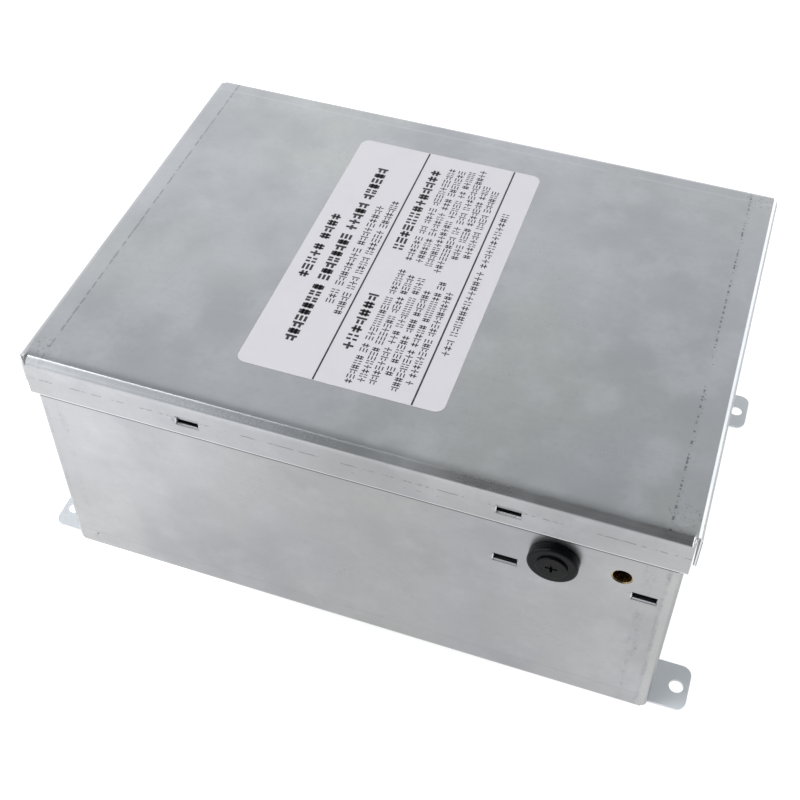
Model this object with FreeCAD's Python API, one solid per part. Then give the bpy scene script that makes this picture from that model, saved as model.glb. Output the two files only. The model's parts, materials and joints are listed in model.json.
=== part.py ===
import FreeCAD, Part
import math
import os

# Automatic transfer relay switch in a galvanised sheet-steel case, millimetres.
# The case lies on its back: +X to the right, +Y to the rear, +Z up out of the cover.
# Here Y is measured from the middle of the wiring; each finished shape is moved by HOLES_MIDDLE_Y,
# so that the origin is the centre of the four mounting holes, on the underside of the back plate.

V = FreeCAD.Vector

# ---------------------------------------------------------------- driving dimensions
SHEET = 1.2                 # thickness of all the sheet steel
BEND = 2.8                  # outer bend radius of the case
CASE_HALF_WIDTH = 136.3
FRONT = -91.0               # outer face of the front wall
REAR = 109.3                # outer face of the rear wall
COVER_TOP = 128.0
COVER_LEFT = -140.4
COVER_RIGHT = 139.6
COVER_GAP = 0.3             # air between the walls and the cover's lips
LIP_DEPTH = 20.1            # front and rear lips of the cover
LIP_ENDS = (3.2, 2.0)       # how far the lips stop short of the cover's left and right faces
SIDE_LIP_DEPTH = 17.5
REST_GAP = 0.1              # air under the cover where it rests on the side rims

HOLES_MIDDLE_Y = 7.2
EAR_X = 147.0               # mounting holes, from their centre
EAR_Y = 83.3
EAR_HOLE_R = 3.2
EAR_WIDTH = 21.5
EAR_TIP = 152.5

LATCH_SLOT_X = (-65.1, 68.3)
SLOT_Z = 115.8
SLOT_LENGTH = 9.9
SLOT_HEIGHT = 4.9
SHELF_SLOT_X = (68.5, 124.5)
SHELF_SLOT_Z = 82.2
SHELF_Z = 80.4              # middle of the control shelf's sheet, whose tabs lie low in their slots

FUSE_X = 87.75
FUSE_Z = 92.5
BUSH_X = 114.5
BUSH_Z = 92.6
BUSH_HOLE_R = 4.2

ENTRY_X = {"shore": -88.0, "generator": -8.0, "load": 84.0}
ENTRY_Z = 62.0
ENTRY_BORE_R = 12.7
ENTRY_HOLE_R = 16.8

CONTACTOR_X = {"shore": -88.0, "generator": -8.0}
CONTACTOR_Y = 10.0
POLE = 13.25                # from the contactor's middle to each pole
TRAVEL = 4.0                # contact travel
CLOSED_Z = 40.25            # underside of the moving contacts when closed
ROCKER_X = -48.0
ROCKER_Z = 48.0
ROCKER_ARM = 12.0

# ---------------------------------------------------------------- derived dimensions
FLOOR = SHEET
RIM_TOP = COVER_TOP - SHEET - REST_GAP
WALL_TOP = RIM_TOP - SHEET
FRONT_IN = FRONT + SHEET
REAR_IN = REAR - SHEET
PANEL_OUT = CASE_HALF_WIDTH - SHEET
PANEL_IN = PANEL_OUT - SHEET
COVER_FRONT = FRONT - COVER_GAP - SHEET
COVER_REAR = REAR + COVER_GAP + SHEET
LIP_BOTTOM = COVER_TOP - LIP_DEPTH
ROCKER_TILT = math.degrees(math.asin(TRAVEL / 2 / ROCKER_ARM))
CONTACTOR_MIDDLE_TO_ROCKER = ROCKER_X - CONTACTOR_X["shore"]

parts = {}


# ---------------------------------------------------------------- helpers
def block(x0, x1, y0, y1, z0, z1):
    """A box between two corners, given as pairs of limits."""
    return Part.makeBox(x1 - x0, y1 - y0, z1 - z0, V(x0, y0, z0))


def rod(r, start, direction, length):
    return Part.makeCylinder(r, length, V(*start), V(*direction))


def fuse(*shapes):
    first, *rest = shapes
    return first.fuse(rest).removeSplitter() if rest else first


def cut(shape, *tools):
    return shape.cut(list(tools)).removeSplitter()


def along(axis, edge, a, b, tolerance=0.01):
    """True if the straight edge runs along axis through the point (a, b) of the other two axes."""
    others = [i for i in range(3) if i != axis]
    ends = [v.Point for v in edge.Vertexes]
    if len(ends) != 2:
        return False
    fits = [abs(p[others[0]] - a) < tolerance and abs(p[others[1]] - b) < tolerance for p in ends]
    return all(fits)


def round_edges(shape, axis, places, radius):
    """Fillets the edges along axis (0, 1 or 2) that pass through the given places."""
    picked = [e for e in shape.Edges for a, b in places if along(axis, e, a, b)]
    return shape.makeFillet(radius, picked)


def rounded_block(x0, x1, y0, y1, z0, z1, radius):
    """A box with its four upright edges rounded."""
    corners = [(x0, y0), (x0, y1), (x1, y0), (x1, y1)]
    return round_edges(block(x0, x1, y0, y1, z0, z1), 2, corners, radius)


def round_rim(shape, axis, at, radius):
    """Fillets the full circles that lie across axis (0, 1 or 2) at the given place along it."""
    circles = [e for e in shape.Edges if isinstance(e.Curve, Part.Circle)]
    picked = [e for e in circles if abs(e.CenterOfMass[axis] - at) < 0.01]
    return shape.makeFillet(radius, picked)


def hexagon(across, start, direction, length):
    """A hexagonal prism with its flats `across` apart."""
    r = across / math.sqrt(3)
    angles = [math.radians(60 * i) for i in range(7)]
    points = [V(r * math.cos(angle), r * math.sin(angle), 0) for angle in angles]
    prism = Part.Face(Part.makePolygon(points)).extrude(V(0, 0, length))
    prism.Placement = FreeCAD.Placement(V(*start), FreeCAD.Rotation(V(0, 0, 1), V(*direction)))
    return prism


def pan_screw(x, y, z, head_r, shank_r, depth, head_h=2.2):
    """An upright pan-head screw with a cross recess, its head resting on z."""
    head = round_rim(rod(head_r, (x, y, z), (0, 0, 1), head_h), 2, z + head_h, head_h * 0.45)
    arm = head_r * 0.62
    slit = head_r * 0.14
    recess = [
        block(x - arm, x + arm, y - slit, y + slit, z + head_h * 0.4, z + head_h + 1),
        block(x - slit, x + slit, y - arm, y + arm, z + head_h * 0.4, z + head_h + 1),
    ]
    return cut(fuse(head, rod(shank_r, (x, y, z - depth), (0, 0, 1), depth)), *recess)


def coil_spring(x, y, low, high, radius, wire_r, turns):
    """An upright helical spring whose wire just fits between the heights low and high."""
    first = low + wire_r
    rise = high - low - 2 * wire_r
    spine = Part.makeHelix(rise / turns, rise, radius)
    spine.translate(V(x, y, first))
    ring = Part.Wire(Part.makeCircle(wire_r, V(x + radius, y, first), V(0, 1, 0)))
    return Part.Wire(spine.Edges).makePipeShell([ring], True, True)


def round_route(points):
    """A path of straight runs joined by tangent arcs, each as large as its two runs allow."""
    share = 0.45
    edges = []
    start = V(*points[0])
    for before, corner, after in zip(points, points[1:], points[2:]):
        before, corner, after = V(*before), V(*corner), V(*after)
        reach = share * min(before.distanceToPoint(corner), corner.distanceToPoint(after))
        into = (before - corner).normalize()
        out = (after - corner).normalize()
        arc_start = corner + into * reach
        arc_end = corner + out * reach
        half_turn = (math.pi - into.getAngle(out)) / 2
        to_middle = reach * math.tan(half_turn / 2)
        middle = corner + (into + out).normalize() * to_middle
        edges.append(Part.LineSegment(start, arc_start).toShape())
        edges.append(Part.Arc(arc_start, middle, arc_end).toShape())
        start = arc_end
    edges.append(Part.LineSegment(start, V(*points[-1])).toShape())
    return Part.Wire(edges)


def insulated_wire(points, radius):
    """A round wire along the route through the points."""
    route = round_route(points)
    heading = V(*points[1]) - V(*points[0])
    ring = Part.Wire(Part.makeCircle(radius, V(*points[0]), heading))
    return route.makePipeShell([ring], True, False)


def group(shapes):
    """Separate solids that share one node."""
    return Part.makeCompound(list(shapes))


# ---------------------------------------------------------------- case
def wall_slot(x, z, y_out, inward):
    """A slot through a wall, with a pressed dimple at each end. inward is +1 or -1 along Y."""
    half = SLOT_LENGTH / 2
    y0, y1 = sorted((y_out - inward, y_out + inward * (SHEET + 1)))
    tools = [block(x - half, x + half, y0, y1, z - SLOT_HEIGHT / 2, z + SLOT_HEIGHT / 2)]
    dish_r = 4.0
    for side, depth in ((-1, 0.5), (1, 0.12)):
        tools.append(Part.makeSphere(dish_r, V(x + side * half, y_out - inward * (dish_r - depth), z)))
    return tools


def latch_slits(x, y_out, inward):
    """Two slits that leave a springy bar between them, behind each latch slot of the cover."""
    bar = 1.2
    slit = (SLOT_HEIGHT - bar) / 2
    y0, y1 = sorted((y_out - inward, y_out + inward * (SHEET + 1)))
    slits = []
    for low in (SLOT_Z - SLOT_HEIGHT / 2, SLOT_Z + bar / 2):
        slits.append(block(x - SLOT_LENGTH / 2, x + SLOT_LENGTH / 2, y0, y1, low, low + slit))
    return slits


def wrap_wall(y_out, inward):
    """A wall bent round both upright corners, to lie on the edges of the side panels."""
    flange = BEND + 0.2
    y_in = y_out + inward * SHEET
    y_end = y_out + inward * flange
    outer = block(-CASE_HALF_WIDTH, CASE_HALF_WIDTH, *sorted((y_out, y_end)), BEND, WALL_TOP)
    outer = round_edges(outer, 2, [(-CASE_HALF_WIDTH, y_out), (CASE_HALF_WIDTH, y_out)], BEND)
    inner = block(-PANEL_OUT, PANEL_OUT, *sorted((y_in, y_end + inward)), BEND - 1, WALL_TOP + 1)
    inner = round_edges(inner, 2, [(-PANEL_OUT, y_in), (PANEL_OUT, y_in)], BEND - SHEET)
    return outer.cut(inner)


def mounting_ear(side_x, side_y):
    """A tab of the back plate with rounded corners, outside the side wall."""
    y = HOLES_MIDDLE_Y + side_y * EAR_Y
    half = EAR_WIDTH / 2
    x_in = PANEL_IN - 0.5
    ear = block(x_in, EAR_TIP, y - half, y + half, 0, SHEET)
    ear = round_edges(ear, 2, [(EAR_TIP, y - half), (EAR_TIP, y + half)], 4.5)
    ear = ear.cut(rod(EAR_HOLE_R, (EAR_X, y, -1), (0, 0, 1), SHEET + 2))
    return ear if side_x > 0 else ear.mirror(V(0, 0, 0), V(1, 0, 0))


def make_case_tray():
    """Back plate with four ears, with front and rear walls welded to it where their lower bends end."""
    x = PANEL_IN
    outer = block(-x, x, FRONT, REAR, 0, WALL_TOP)
    outer = round_edges(outer, 0, [(FRONT, 0), (REAR, 0)], BEND)
    inner = block(-x - 1, x + 1, FRONT_IN, REAR_IN, FLOOR, WALL_TOP + 1)
    inner = round_edges(inner, 0, [(FRONT_IN, FLOOR), (REAR_IN, FLOOR)], BEND - SHEET)
    ears = [mounting_ear(sx, sy) for sx in (-1, 1) for sy in (-1, 1)]
    tray = fuse(outer.cut(inner), wrap_wall(FRONT, 1), wrap_wall(REAR, -1), *ears)
    holes = []
    for slot_x in LATCH_SLOT_X:
        holes += latch_slits(slot_x, FRONT, 1)
        holes += latch_slits(slot_x, REAR, -1)
    for slot_x in SHELF_SLOT_X:
        holes += wall_slot(slot_x, SHELF_SLOT_Z, FRONT, 1)
    holes.append(rod(6.4, (FUSE_X, FRONT - 1, FUSE_Z), (0, 1, 0), SHEET + 2))
    holes.append(bush_rod(BUSH_HOLE_R, FRONT - 1, FRONT_IN + 1))
    for entry_x in ENTRY_X.values():
        holes.append(rod(ENTRY_HOLE_R, (entry_x, REAR - SHEET - 1, ENTRY_Z), (0, 1, 0), SHEET + 2))
    holes.append(Part.makeSphere(1.2, V(-124.9, FRONT - 0.7, 10.0)))
    tray = cut(tray, *holes)
    plate = block(-EAR_TIP - 1, EAR_TIP + 1, FRONT + BEND, REAR - BEND, -1, BEND - 0.5)
    return group([tray.common(plate), *tray.cut(plate).Solids])


def make_side_panel(side):
    """Side wall with a foot flange on the back plate and a rim turned outwards to carry the cover."""
    foot = 12.0
    rim = 1.4
    y0 = FRONT + BEND + 0.1
    y1 = REAR - BEND - 0.1
    wall = block(PANEL_IN, PANEL_OUT, y0, y1, FLOOR, RIM_TOP)
    floor_flange = block(PANEL_IN - foot, PANEL_OUT, y0 + 1.5, y1 - 1.5, FLOOR, FLOOR + SHEET)
    top_rim = block(PANEL_IN, PANEL_OUT + rim, y0, y1, RIM_TOP - SHEET, RIM_TOP)
    panel = fuse(wall, floor_flange, top_rim)
    panel = round_edges(panel, 1, [(PANEL_IN, RIM_TOP)], 1.0)
    return panel if side > 0 else panel.mirror(V(0, 0, 0), V(1, 0, 0))


# ---------------------------------------------------------------- cover
def make_cover():
    """Lift-off cover: two folded channels crossing at the top sheet, with open notches at the corners."""
    long_bend = 3.2
    side_bend = 3.0
    side_end = 3.0
    x0 = COVER_LEFT + LIP_ENDS[0]
    x1 = COVER_RIGHT - LIP_ENDS[1]
    outer = block(x0, x1, COVER_FRONT, COVER_REAR, LIP_BOTTOM, COVER_TOP)
    outer = round_edges(outer, 0, [(COVER_FRONT, COVER_TOP), (COVER_REAR, COVER_TOP)], long_bend)
    lip_in = (COVER_FRONT + SHEET, COVER_REAR - SHEET)
    inner = block(x0 - 1, x1 + 1, *lip_in, LIP_BOTTOM - 1, COVER_TOP - SHEET)
    inner = round_edges(inner, 0, [(y, COVER_TOP - SHEET) for y in lip_in], long_bend - SHEET)
    lips = outer.cut(inner)

    y0 = COVER_FRONT + side_end
    y1 = COVER_REAR - side_end
    z0 = COVER_TOP - SIDE_LIP_DEPTH
    outer = block(COVER_LEFT, COVER_RIGHT, y0, y1, z0, COVER_TOP)
    outer = round_edges(outer, 1, [(COVER_LEFT, COVER_TOP), (COVER_RIGHT, COVER_TOP)], side_bend)
    flange_in = (COVER_LEFT + SHEET, COVER_RIGHT - SHEET)
    inner = block(*flange_in, y0 - 1, y1 + 1, z0 - 1, COVER_TOP - SHEET)
    inner = round_edges(inner, 1, [(x, COVER_TOP - SHEET) for x in flange_in], side_bend - SHEET)
    flanges = outer.cut(inner)

    cover = fuse(lips, flanges)
    slots = []
    for slot_x in LATCH_SLOT_X:
        slots += wall_slot(slot_x, SLOT_Z, COVER_FRONT, 1)
        slots += wall_slot(slot_x, SLOT_Z, COVER_REAR, -1)
    return cut(cover, *slots)


def make_rating_label():
    """Adhesive vinyl label on the cover."""
    return rounded_block(-55.5, 32.7, -64.5, 87.6, COVER_TOP, COVER_TOP + 0.15, 4.0)


# ---------------------------------------------------------------- fuse holder
def fuse_rod(r, y0, y1):
    """A cylinder on the fuse holder's axis."""
    return rod(r, (FUSE_X, y0, FUSE_Z), (0, 1, 0), y1 - y0)


def make_fuse_holder():
    tube = fuse(fuse_rod(6.3, FRONT - 0.5, -46.0), fuse_rod(8.5, FRONT - 1.4, FRONT))
    parts["fuse_holder_body"] = cut(tube, fuse_rod(4.3, FRONT - 2, -48.0))

    nut = hexagon(17.0, (FUSE_X, FRONT_IN, FUSE_Z), (0, 1, 0), 3.6)
    parts["fuse_holder_nut"] = cut(nut, fuse_rod(6.35, FRONT, -80.0))

    rear_tag = block(FUSE_X - 2.4, FUSE_X + 2.4, -46.0, -41.0, FUSE_Z - 0.4, FUSE_Z + 0.4)
    rear_tag = rear_tag.cut(rod(0.9, (FUSE_X, -43.0, FUSE_Z - 1), (0, 0, 1), 2))
    side_tag = block(FUSE_X - 2.4, FUSE_X + 2.4, -60.4, -59.6, FUSE_Z + 6.3, FUSE_Z + 15)
    side_tag = side_tag.cut(rod(0.9, (FUSE_X, -61, FUSE_Z + 12), (0, 1, 0), 2))
    parts["fuse_holder_tags"] = group([rear_tag, side_tag])


def make_fuse_cap():
    """Screwdriver cap: a round-shouldered skirt over the holder's flange, a raised disc, and a socket."""
    face = FRONT - 4.2
    disc_face = FRONT - 5.2
    skirt = round_rim(fuse_rod(10.3, face, FRONT - 0.2), 1, face, 1.0)
    disc = round_rim(fuse_rod(6.3, disc_face, face + 0.1), 1, disc_face, 0.35)
    cap = cut(fuse(skirt, disc), fuse_rod(8.8, FRONT - 1.9, FRONT + 1))
    stem = fuse_rod(4.0, FRONT - 3.0, -80.0)
    cap = cut(fuse(cap, stem), fuse_rod(3.4, -84.1, -79.0))
    arm = 2.45
    slit = 0.5
    cross = [
        block(FUSE_X - arm, FUSE_X + arm, FRONT - 6, disc_face + 1.3, FUSE_Z - slit, FUSE_Z + slit),
        block(FUSE_X - slit, FUSE_X + slit, FRONT - 6, disc_face + 1.3, FUSE_Z - arm, FUSE_Z + arm),
    ]
    return cut(cap, *cross)


def make_fuse_link():
    """Glass tube fuse held in the cap's socket."""
    y0 = -84.0
    y1 = -52.2
    cap_length = 6.5
    parts["fuse_glass"] = cut(fuse_rod(2.9, y0 + 1, y1 - 1), fuse_rod(2.2, y0 + 2, y1 - 2))
    ends = []
    for start, end, hollow_start, hollow_end in (
        (y0, y0 + cap_length, y0 + 1, y0 + cap_length + 1),
        (y1 - cap_length, y1, y1 - cap_length - 1, y1 - 1),
    ):
        ends.append(cut(fuse_rod(3.2, start, end), fuse_rod(2.9, hollow_start, hollow_end)))
    parts["fuse_end_caps"] = group(ends)


def bush_rod(r, y0, y1):
    """A cylinder on the bush's axis."""
    return rod(r, (BUSH_X, y0, BUSH_Z), (0, 1, 0), y1 - y0)


def make_brass_bush():
    """Brass bush for the bonding screw, its spigot pressed into the front wall's hole."""
    spigot = bush_rod(BUSH_HOLE_R - 0.05, FRONT + 0.4, FRONT_IN)
    body = bush_rod(6.5, FRONT_IN, FRONT_IN + 2)
    neck = bush_rod(5.4, FRONT_IN + 2, FRONT_IN + 8)
    return cut(fuse(spigot, body, neck), bush_rod(3.8, FRONT - 1, FRONT_IN + 9))


# ---------------------------------------------------------------- cable clamps
def clamp_rod(x, r, y0, y1):
    return rod(r, (x, y0, ENTRY_Z), (0, 1, 0), y1 - y0)


def make_clamp_body(x):
    """Two-screw cable connector: nipple through the wall, shoulder, and an open trough with two ears."""
    nipple_in = REAR_IN - 10.8
    shoulder_out = REAR + 4.0
    trough_out = REAR + 25.0
    nipple = clamp_rod(x, ENTRY_HOLE_R - 0.2, nipple_in, REAR)
    shoulder = clamp_rod(x, 20.0, REAR, shoulder_out)
    trough = clamp_rod(x, 16.6, shoulder_out, trough_out)
    trough = trough.cut(block(x - 20, x + 20, shoulder_out - 1, trough_out + 1, ENTRY_Z, ENTRY_Z + 20))
    ears = []
    for side in (-1, 1):
        ear_x = sorted((x + side * 14.5, x + side * 23.5))
        ears.append(block(*ear_x, REAR + 8, REAR + 21, ENTRY_Z - 6, ENTRY_Z))
    body = fuse(nipple, shoulder, trough, *ears)
    bores = [
        clamp_rod(x, ENTRY_BORE_R, nipple_in - 1, shoulder_out + 0.01),
        clamp_rod(x, ENTRY_BORE_R + 0.8, shoulder_out, trough_out + 1),
    ]
    for side in (-1, 1):
        bores.append(rod(2.4, (x + side * 19.0, REAR + 14.5, ENTRY_Z - 7), (0, 0, 1), 8))
    return cut(body, *bores)


def make_locknut(x):
    """Ring nut with pressed lugs, inside the rear wall."""
    ring = clamp_rod(x, 20.5, REAR_IN - 3.2, REAR_IN)
    lugs = []
    for i in range(8):
        angle = math.radians(45 * i + 22.5)
        centre = (x + 20.5 * math.cos(angle), REAR_IN - 3.2, ENTRY_Z + 20.5 * math.sin(angle))
        lugs.append(rod(2.4, centre, (0, 1, 0), 3.2))
    return cut(fuse(ring, *lugs), clamp_rod(x, ENTRY_HOLE_R - 0.1, REAR_IN - 5, REAR_IN + 1))


def make_saddle(x):
    """Strap across the trough, pressed down on the cable by its two screws."""
    low = ENTRY_Z + 14.6
    strap = block(x - 23.5, x + 23.5, REAR + 9, REAR + 20, low, low + 5)
    strap = round_edges(strap, 1, [(x - 23.5, low + 5), (x + 23.5, low + 5)], 2.5)
    hollow = rod(16.0, (x, REAR + 8, low - 14.6), (0, 1, 0), 14)
    holes = [rod(2.4, (x + side * 19.0, REAR + 14.5, low - 1), (0, 0, 1), 8) for side in (-1, 1)]
    return cut(strap, hollow, *holes)


def make_saddle_screws(x):
    head_z = ENTRY_Z + 19.6
    return group(pan_screw(x + side * 19.0, REAR + 14.5, head_z, 4.2, 2.1, 28.0) for side in (-1, 1))


# ---------------------------------------------------------------- contactors
# Each contactor is laid out from its own middle: u along X, v along Y, z from the case's underside.
DECK = 37.2                 # top of the contactor housing, under its terminals
TERMINAL_TOP = DECK + 2.0
TERMINAL_V = 31.0           # terminal screws
CONTACT_V = 21.0            # contact pads
CONTACT_R = 2.6
FOOT_V = 42.5               # mounting screws of the housing
COIL_TOP = 21.5
ARMATURE_GAP = 0.3          # air left between the armature and the core when closed
SPRING_V = 13.0
BLADE_U = 4.0               # coil blades
BLADE_V = -19.0
BLADE_TOP = 46.0


def contactor_block(name, u0, u1, v0, v1, z0, z1):
    cx = CONTACTOR_X[name]
    return block(cx + u0, cx + u1, CONTACTOR_Y + v0, CONTACTOR_Y + v1, z0, z1)


def contactor_rod(name, r, u, v, z0, z1):
    return rod(r, (CONTACTOR_X[name] + u, CONTACTOR_Y + v, z0), (0, 0, 1), z1 - z0)


def contactor_slab(name, half_u, half_v, z0, z1, radius):
    cx = CONTACTOR_X[name]
    return rounded_block(cx - half_u, cx + half_u, CONTACTOR_Y - half_v, CONTACTOR_Y + half_v, z0, z1, radius)


def make_housing(name):
    """Moulded housing: a well for the magnet, two decks for the terminals with barriers, and two feet."""
    cx = CONTACTOR_X[name]
    body = contactor_slab(name, 28, 38, FLOOR, DECK, 2.0)
    pocket = contactor_block(name, -22, 22, -24, 24, FLOOR + 3, DECK + 1)
    body = cut(body, pocket)
    barriers = []
    for u in (-26.5, 0, 26.5):
        for v0, v1 in ((-38, -25), (25, 38)):
            barriers.append(contactor_block(name, u - 1.5, u + 1.5, v0, v1, DECK - 1, DECK + 12))
    feet = []
    for v in (-FOOT_V, FOOT_V):
        y0, y1 = sorted((CONTACTOR_Y + v + math.copysign(4.5, v), CONTACTOR_Y + v - math.copysign(8.5, v)))
        feet.append(rounded_block(cx - 9, cx + 9, y0, y1, FLOOR, FLOOR + 3, 3.0))
    holes = [contactor_rod(name, 2.4, 0, v, 0, 6) for v in (-FOOT_V, FOOT_V)]
    for u in (-POLE, POLE):
        for v in (-TERMINAL_V, TERMINAL_V):
            holes.append(contactor_rod(name, 3.0, u, v, DECK - 11, DECK + 1))
    return cut(fuse(body, *barriers, *feet), *holes)


def make_magnet_core(name):
    """E-shaped iron core, standing in the housing's well."""
    yoke = contactor_block(name, -20, 20, -10, 10, FLOOR + 3, 10)
    legs = [contactor_block(name, u - 3, u + 3, -10, 10, 9, 22) for u in (-17, 17)]
    return fuse(yoke, contactor_block(name, -6, 6, -10, 10, 9, 22), *legs)


def make_coil_bobbin(name):
    flanges = [contactor_block(name, -13.6, 13.6, -17, 17, z, z + 1.5) for z in (10.1, COIL_TOP - 1.5)]
    tube = contactor_block(name, -7.2, 7.2, -11.2, 11.2, 11, COIL_TOP - 1)
    ledge = contactor_block(name, -8, 8, -18.5, -16.5, 10.1, COIL_TOP)
    return cut(fuse(*flanges, tube, ledge), contactor_block(name, -6.2, 6.2, -10.2, 10.2, 9, COIL_TOP + 1))


def make_coil_winding(name):
    winding = contactor_slab(name, 12.8, 16.3, 11.6, COIL_TOP - 1.5, 5.0)
    return cut(winding, contactor_block(name, -7.2, 7.2, -11.2, 11.2, 10, COIL_TOP))


def make_coil_blades(name):
    """Two spade blades standing on the bobbin's ledge."""
    half = 2.0
    blades = []
    for u in (-BLADE_U, BLADE_U):
        blade = contactor_block(name, u - half, u + half, BLADE_V - 0.4, BLADE_V + 0.4, 12, BLADE_TOP)
        hole = rod(0.8, (CONTACTOR_X[name] + u, CONTACTOR_Y + BLADE_V - 1, BLADE_TOP - 3), (0, 1, 0), 2)
        blades.append(blade.cut(hole))
    ledge = contactor_block(name, -8, 8, -18.5, -16.5, 10.1, COIL_TOP)
    return [cut(blade, ledge) for blade in blades]


def make_fixed_contacts(name):
    """Four terminal plates with a contact pad at the inner end and a screw hole at the outer one."""
    terminals = []
    for u in (-POLE, POLE):
        for side in (-1, 1):
            tongue_v = sorted((side * 18, side * 27))
            plate_v = sorted((side * 25.5, side * 37))
            tongue = contactor_block(name, u - 6.5, u + 6.5, *tongue_v, DECK, TERMINAL_TOP)
            plate = contactor_block(name, u - 9.5, u + 9.5, *plate_v, DECK, TERMINAL_TOP)
            pad = contactor_rod(name, CONTACT_R, u, side * CONTACT_V, TERMINAL_TOP - 0.5, TERMINAL_TOP + 1)
            hole = contactor_rod(name, 2.6, u, side * TERMINAL_V, DECK - 1, TERMINAL_TOP + 1)
            terminals.append(cut(fuse(plate, tongue, pad), hole))
    return terminals


def make_moving_contacts(name, lift):
    """Two bridges, each with a pad at both ends. A closed pad stays a hair above its fixed pad."""
    bar_low = CLOSED_Z + lift + 1
    bridges = []
    for u in (-POLE, POLE):
        bar = contactor_block(name, u - 4, u + 4, -CONTACT_V - 2.5, CONTACT_V + 2.5, bar_low, bar_low + 2)
        across = (-CONTACT_V, CONTACT_V)
        pads = [contactor_rod(name, CONTACT_R, u, v, bar_low - 1, bar_low + 0.5) for v in across]
        bridges.append(fuse(bar, *pads))
    return bridges


def make_armature(name, lift):
    low = 22 + ARMATURE_GAP + lift
    return fuse(
        contactor_block(name, -20, 20, -10, 10, low, 28 + lift),
        contactor_block(name, -4, 4, -4, 4, 27 + lift, 30.5 + lift),
    )


def make_contact_carrier(name, lift, rocker_side):
    """Moulded yoke above the armature: a beam with a window per bridge, and a lug for the rocker."""
    plate = contactor_slab(name, 21, 16, 30.5 + lift, 34.5 + lift, 2.0)
    column = contactor_block(name, -7, 7, -6, 6, 34 + lift, 40 + lift)
    beam_low = 38.7 + lift
    beam_top = 51.5 + lift
    beam = contactor_block(name, -20, 20, -6.5, 6.5, beam_low, beam_top)
    beam = round_edges(beam, 0, [(CONTACTOR_Y + v, beam_top) for v in (-6.5, 6.5)], 2.0)
    bar_low = CLOSED_Z + lift + 1
    windows = [contactor_block(name, u - 4.3, u + 4.3, -8, 8, bar_low, bar_low + 6) for u in (-POLE, POLE)]
    pin_z = ROCKER_Z - TRAVEL / 2 + lift
    reach = CONTACTOR_MIDDLE_TO_ROCKER - ROCKER_ARM
    lug_u = sorted((rocker_side * 19, rocker_side * (reach + 3)))
    slot_u = sorted((rocker_side * (reach - 2.5), rocker_side * (reach + 5)))
    lug = contactor_block(name, *lug_u, -3, 3, pin_z - 3.7, pin_z + 3.7)
    slot = contactor_block(name, *slot_u, -4, 4, pin_z - 1.8, pin_z + 1.8)
    return cut(fuse(plate, column, beam, lug), slot, *windows)


def make_return_springs(name, lift):
    """Two springs between the coil and the carrier's plate."""
    cx = CONTACTOR_X[name]
    low = COIL_TOP + 0.05
    high = 30.45 + lift
    return [coil_spring(cx, CONTACTOR_Y + v, low, high, 1.6, 0.3, 4) for v in (-SPRING_V, SPRING_V)]


def make_contact_springs(name, lift):
    """A bowed leaf spring over each bridge, in the carrier's window."""
    half_span = 5.6
    leaf = 0.35
    half_width = 3.0
    foot_z = CLOSED_Z + lift + 3.05
    crown_z = foot_z + 3.85
    springs = []
    for u in (-POLE, POLE):
        x = CONTACTOR_X[name] + u - half_width
        front, rear = CONTACTOR_Y - half_span, CONTACTOR_Y + half_span
        outer = Part.Arc(V(x, front, foot_z), V(x, CONTACTOR_Y, crown_z), V(x, rear, foot_z))
        crown = V(x, CONTACTOR_Y, crown_z - leaf)
        inner = Part.Arc(V(x, rear - leaf, foot_z), crown, V(x, front + leaf, foot_z))
        sides = [Part.makeLine(V(x, rear, foot_z), V(x, rear - leaf, foot_z))]
        sides.append(Part.makeLine(V(x, front + leaf, foot_z), V(x, front, foot_z)))
        outline = Part.Wire([outer.toShape(), sides[0], inner.toShape(), sides[1]])
        springs.append(Part.Face(outline).extrude(V(2 * half_width, 0, 0)))
    return springs


def make_contactors():
    for name, lift, rocker_side in (("shore", 0.0, 1), ("generator", TRAVEL, -1)):
        parts[name + "_contactor_housing"] = make_housing(name)
        parts[name + "_armature"] = make_armature(name, lift)
        parts[name + "_contact_carrier"] = make_contact_carrier(name, lift, rocker_side)
        parts[name + "_moving_contacts"] = group(make_moving_contacts(name, lift))
        parts[name + "_return_springs"] = group(make_return_springs(name, lift))
        parts[name + "_contact_springs"] = group(make_contact_springs(name, lift))
    parts["magnet_cores"] = group(make_magnet_core(name) for name in CONTACTOR_X)
    parts["coil_bobbins"] = group(make_coil_bobbin(name) for name in CONTACTOR_X)
    parts["coil_windings"] = group(make_coil_winding(name) for name in CONTACTOR_X)
    parts["coil_blades"] = group(blade for name in CONTACTOR_X for blade in make_coil_blades(name))
    parts["fixed_contacts"] = group(plate for name in CONTACTOR_X for plate in make_fixed_contacts(name))


def make_terminal_screws():
    """Rear screws clamp the incoming cables; front screws clamp the load bars, which are 2 mm thick."""
    screws = []
    for cx in CONTACTOR_X.values():
        for u in (-POLE, POLE):
            screws.append(pan_screw(cx + u, CONTACTOR_Y + TERMINAL_V, TERMINAL_TOP, 4.6, 2.5, 10.0))
            screws.append(pan_screw(cx + u, CONTACTOR_Y - TERMINAL_V, TERMINAL_TOP + 2, 4.6, 2.5, 12.0))
    return group(screws)


def make_mounting_screws():
    """Six alike: four through the contactor feet and two through the control shelf's foot."""
    places = [(cx, CONTACTOR_Y + v, FLOOR + 3) for cx in CONTACTOR_X.values() for v in (-FOOT_V, FOOT_V)]
    places += [(x, SHELF_FOOT_Y, FLOOR + SHEET) for x in SHELF_FOOT_X]
    return group(pan_screw(x, y, z, 4.2, 2.2, z - FLOOR) for x, y, z in places)


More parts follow.
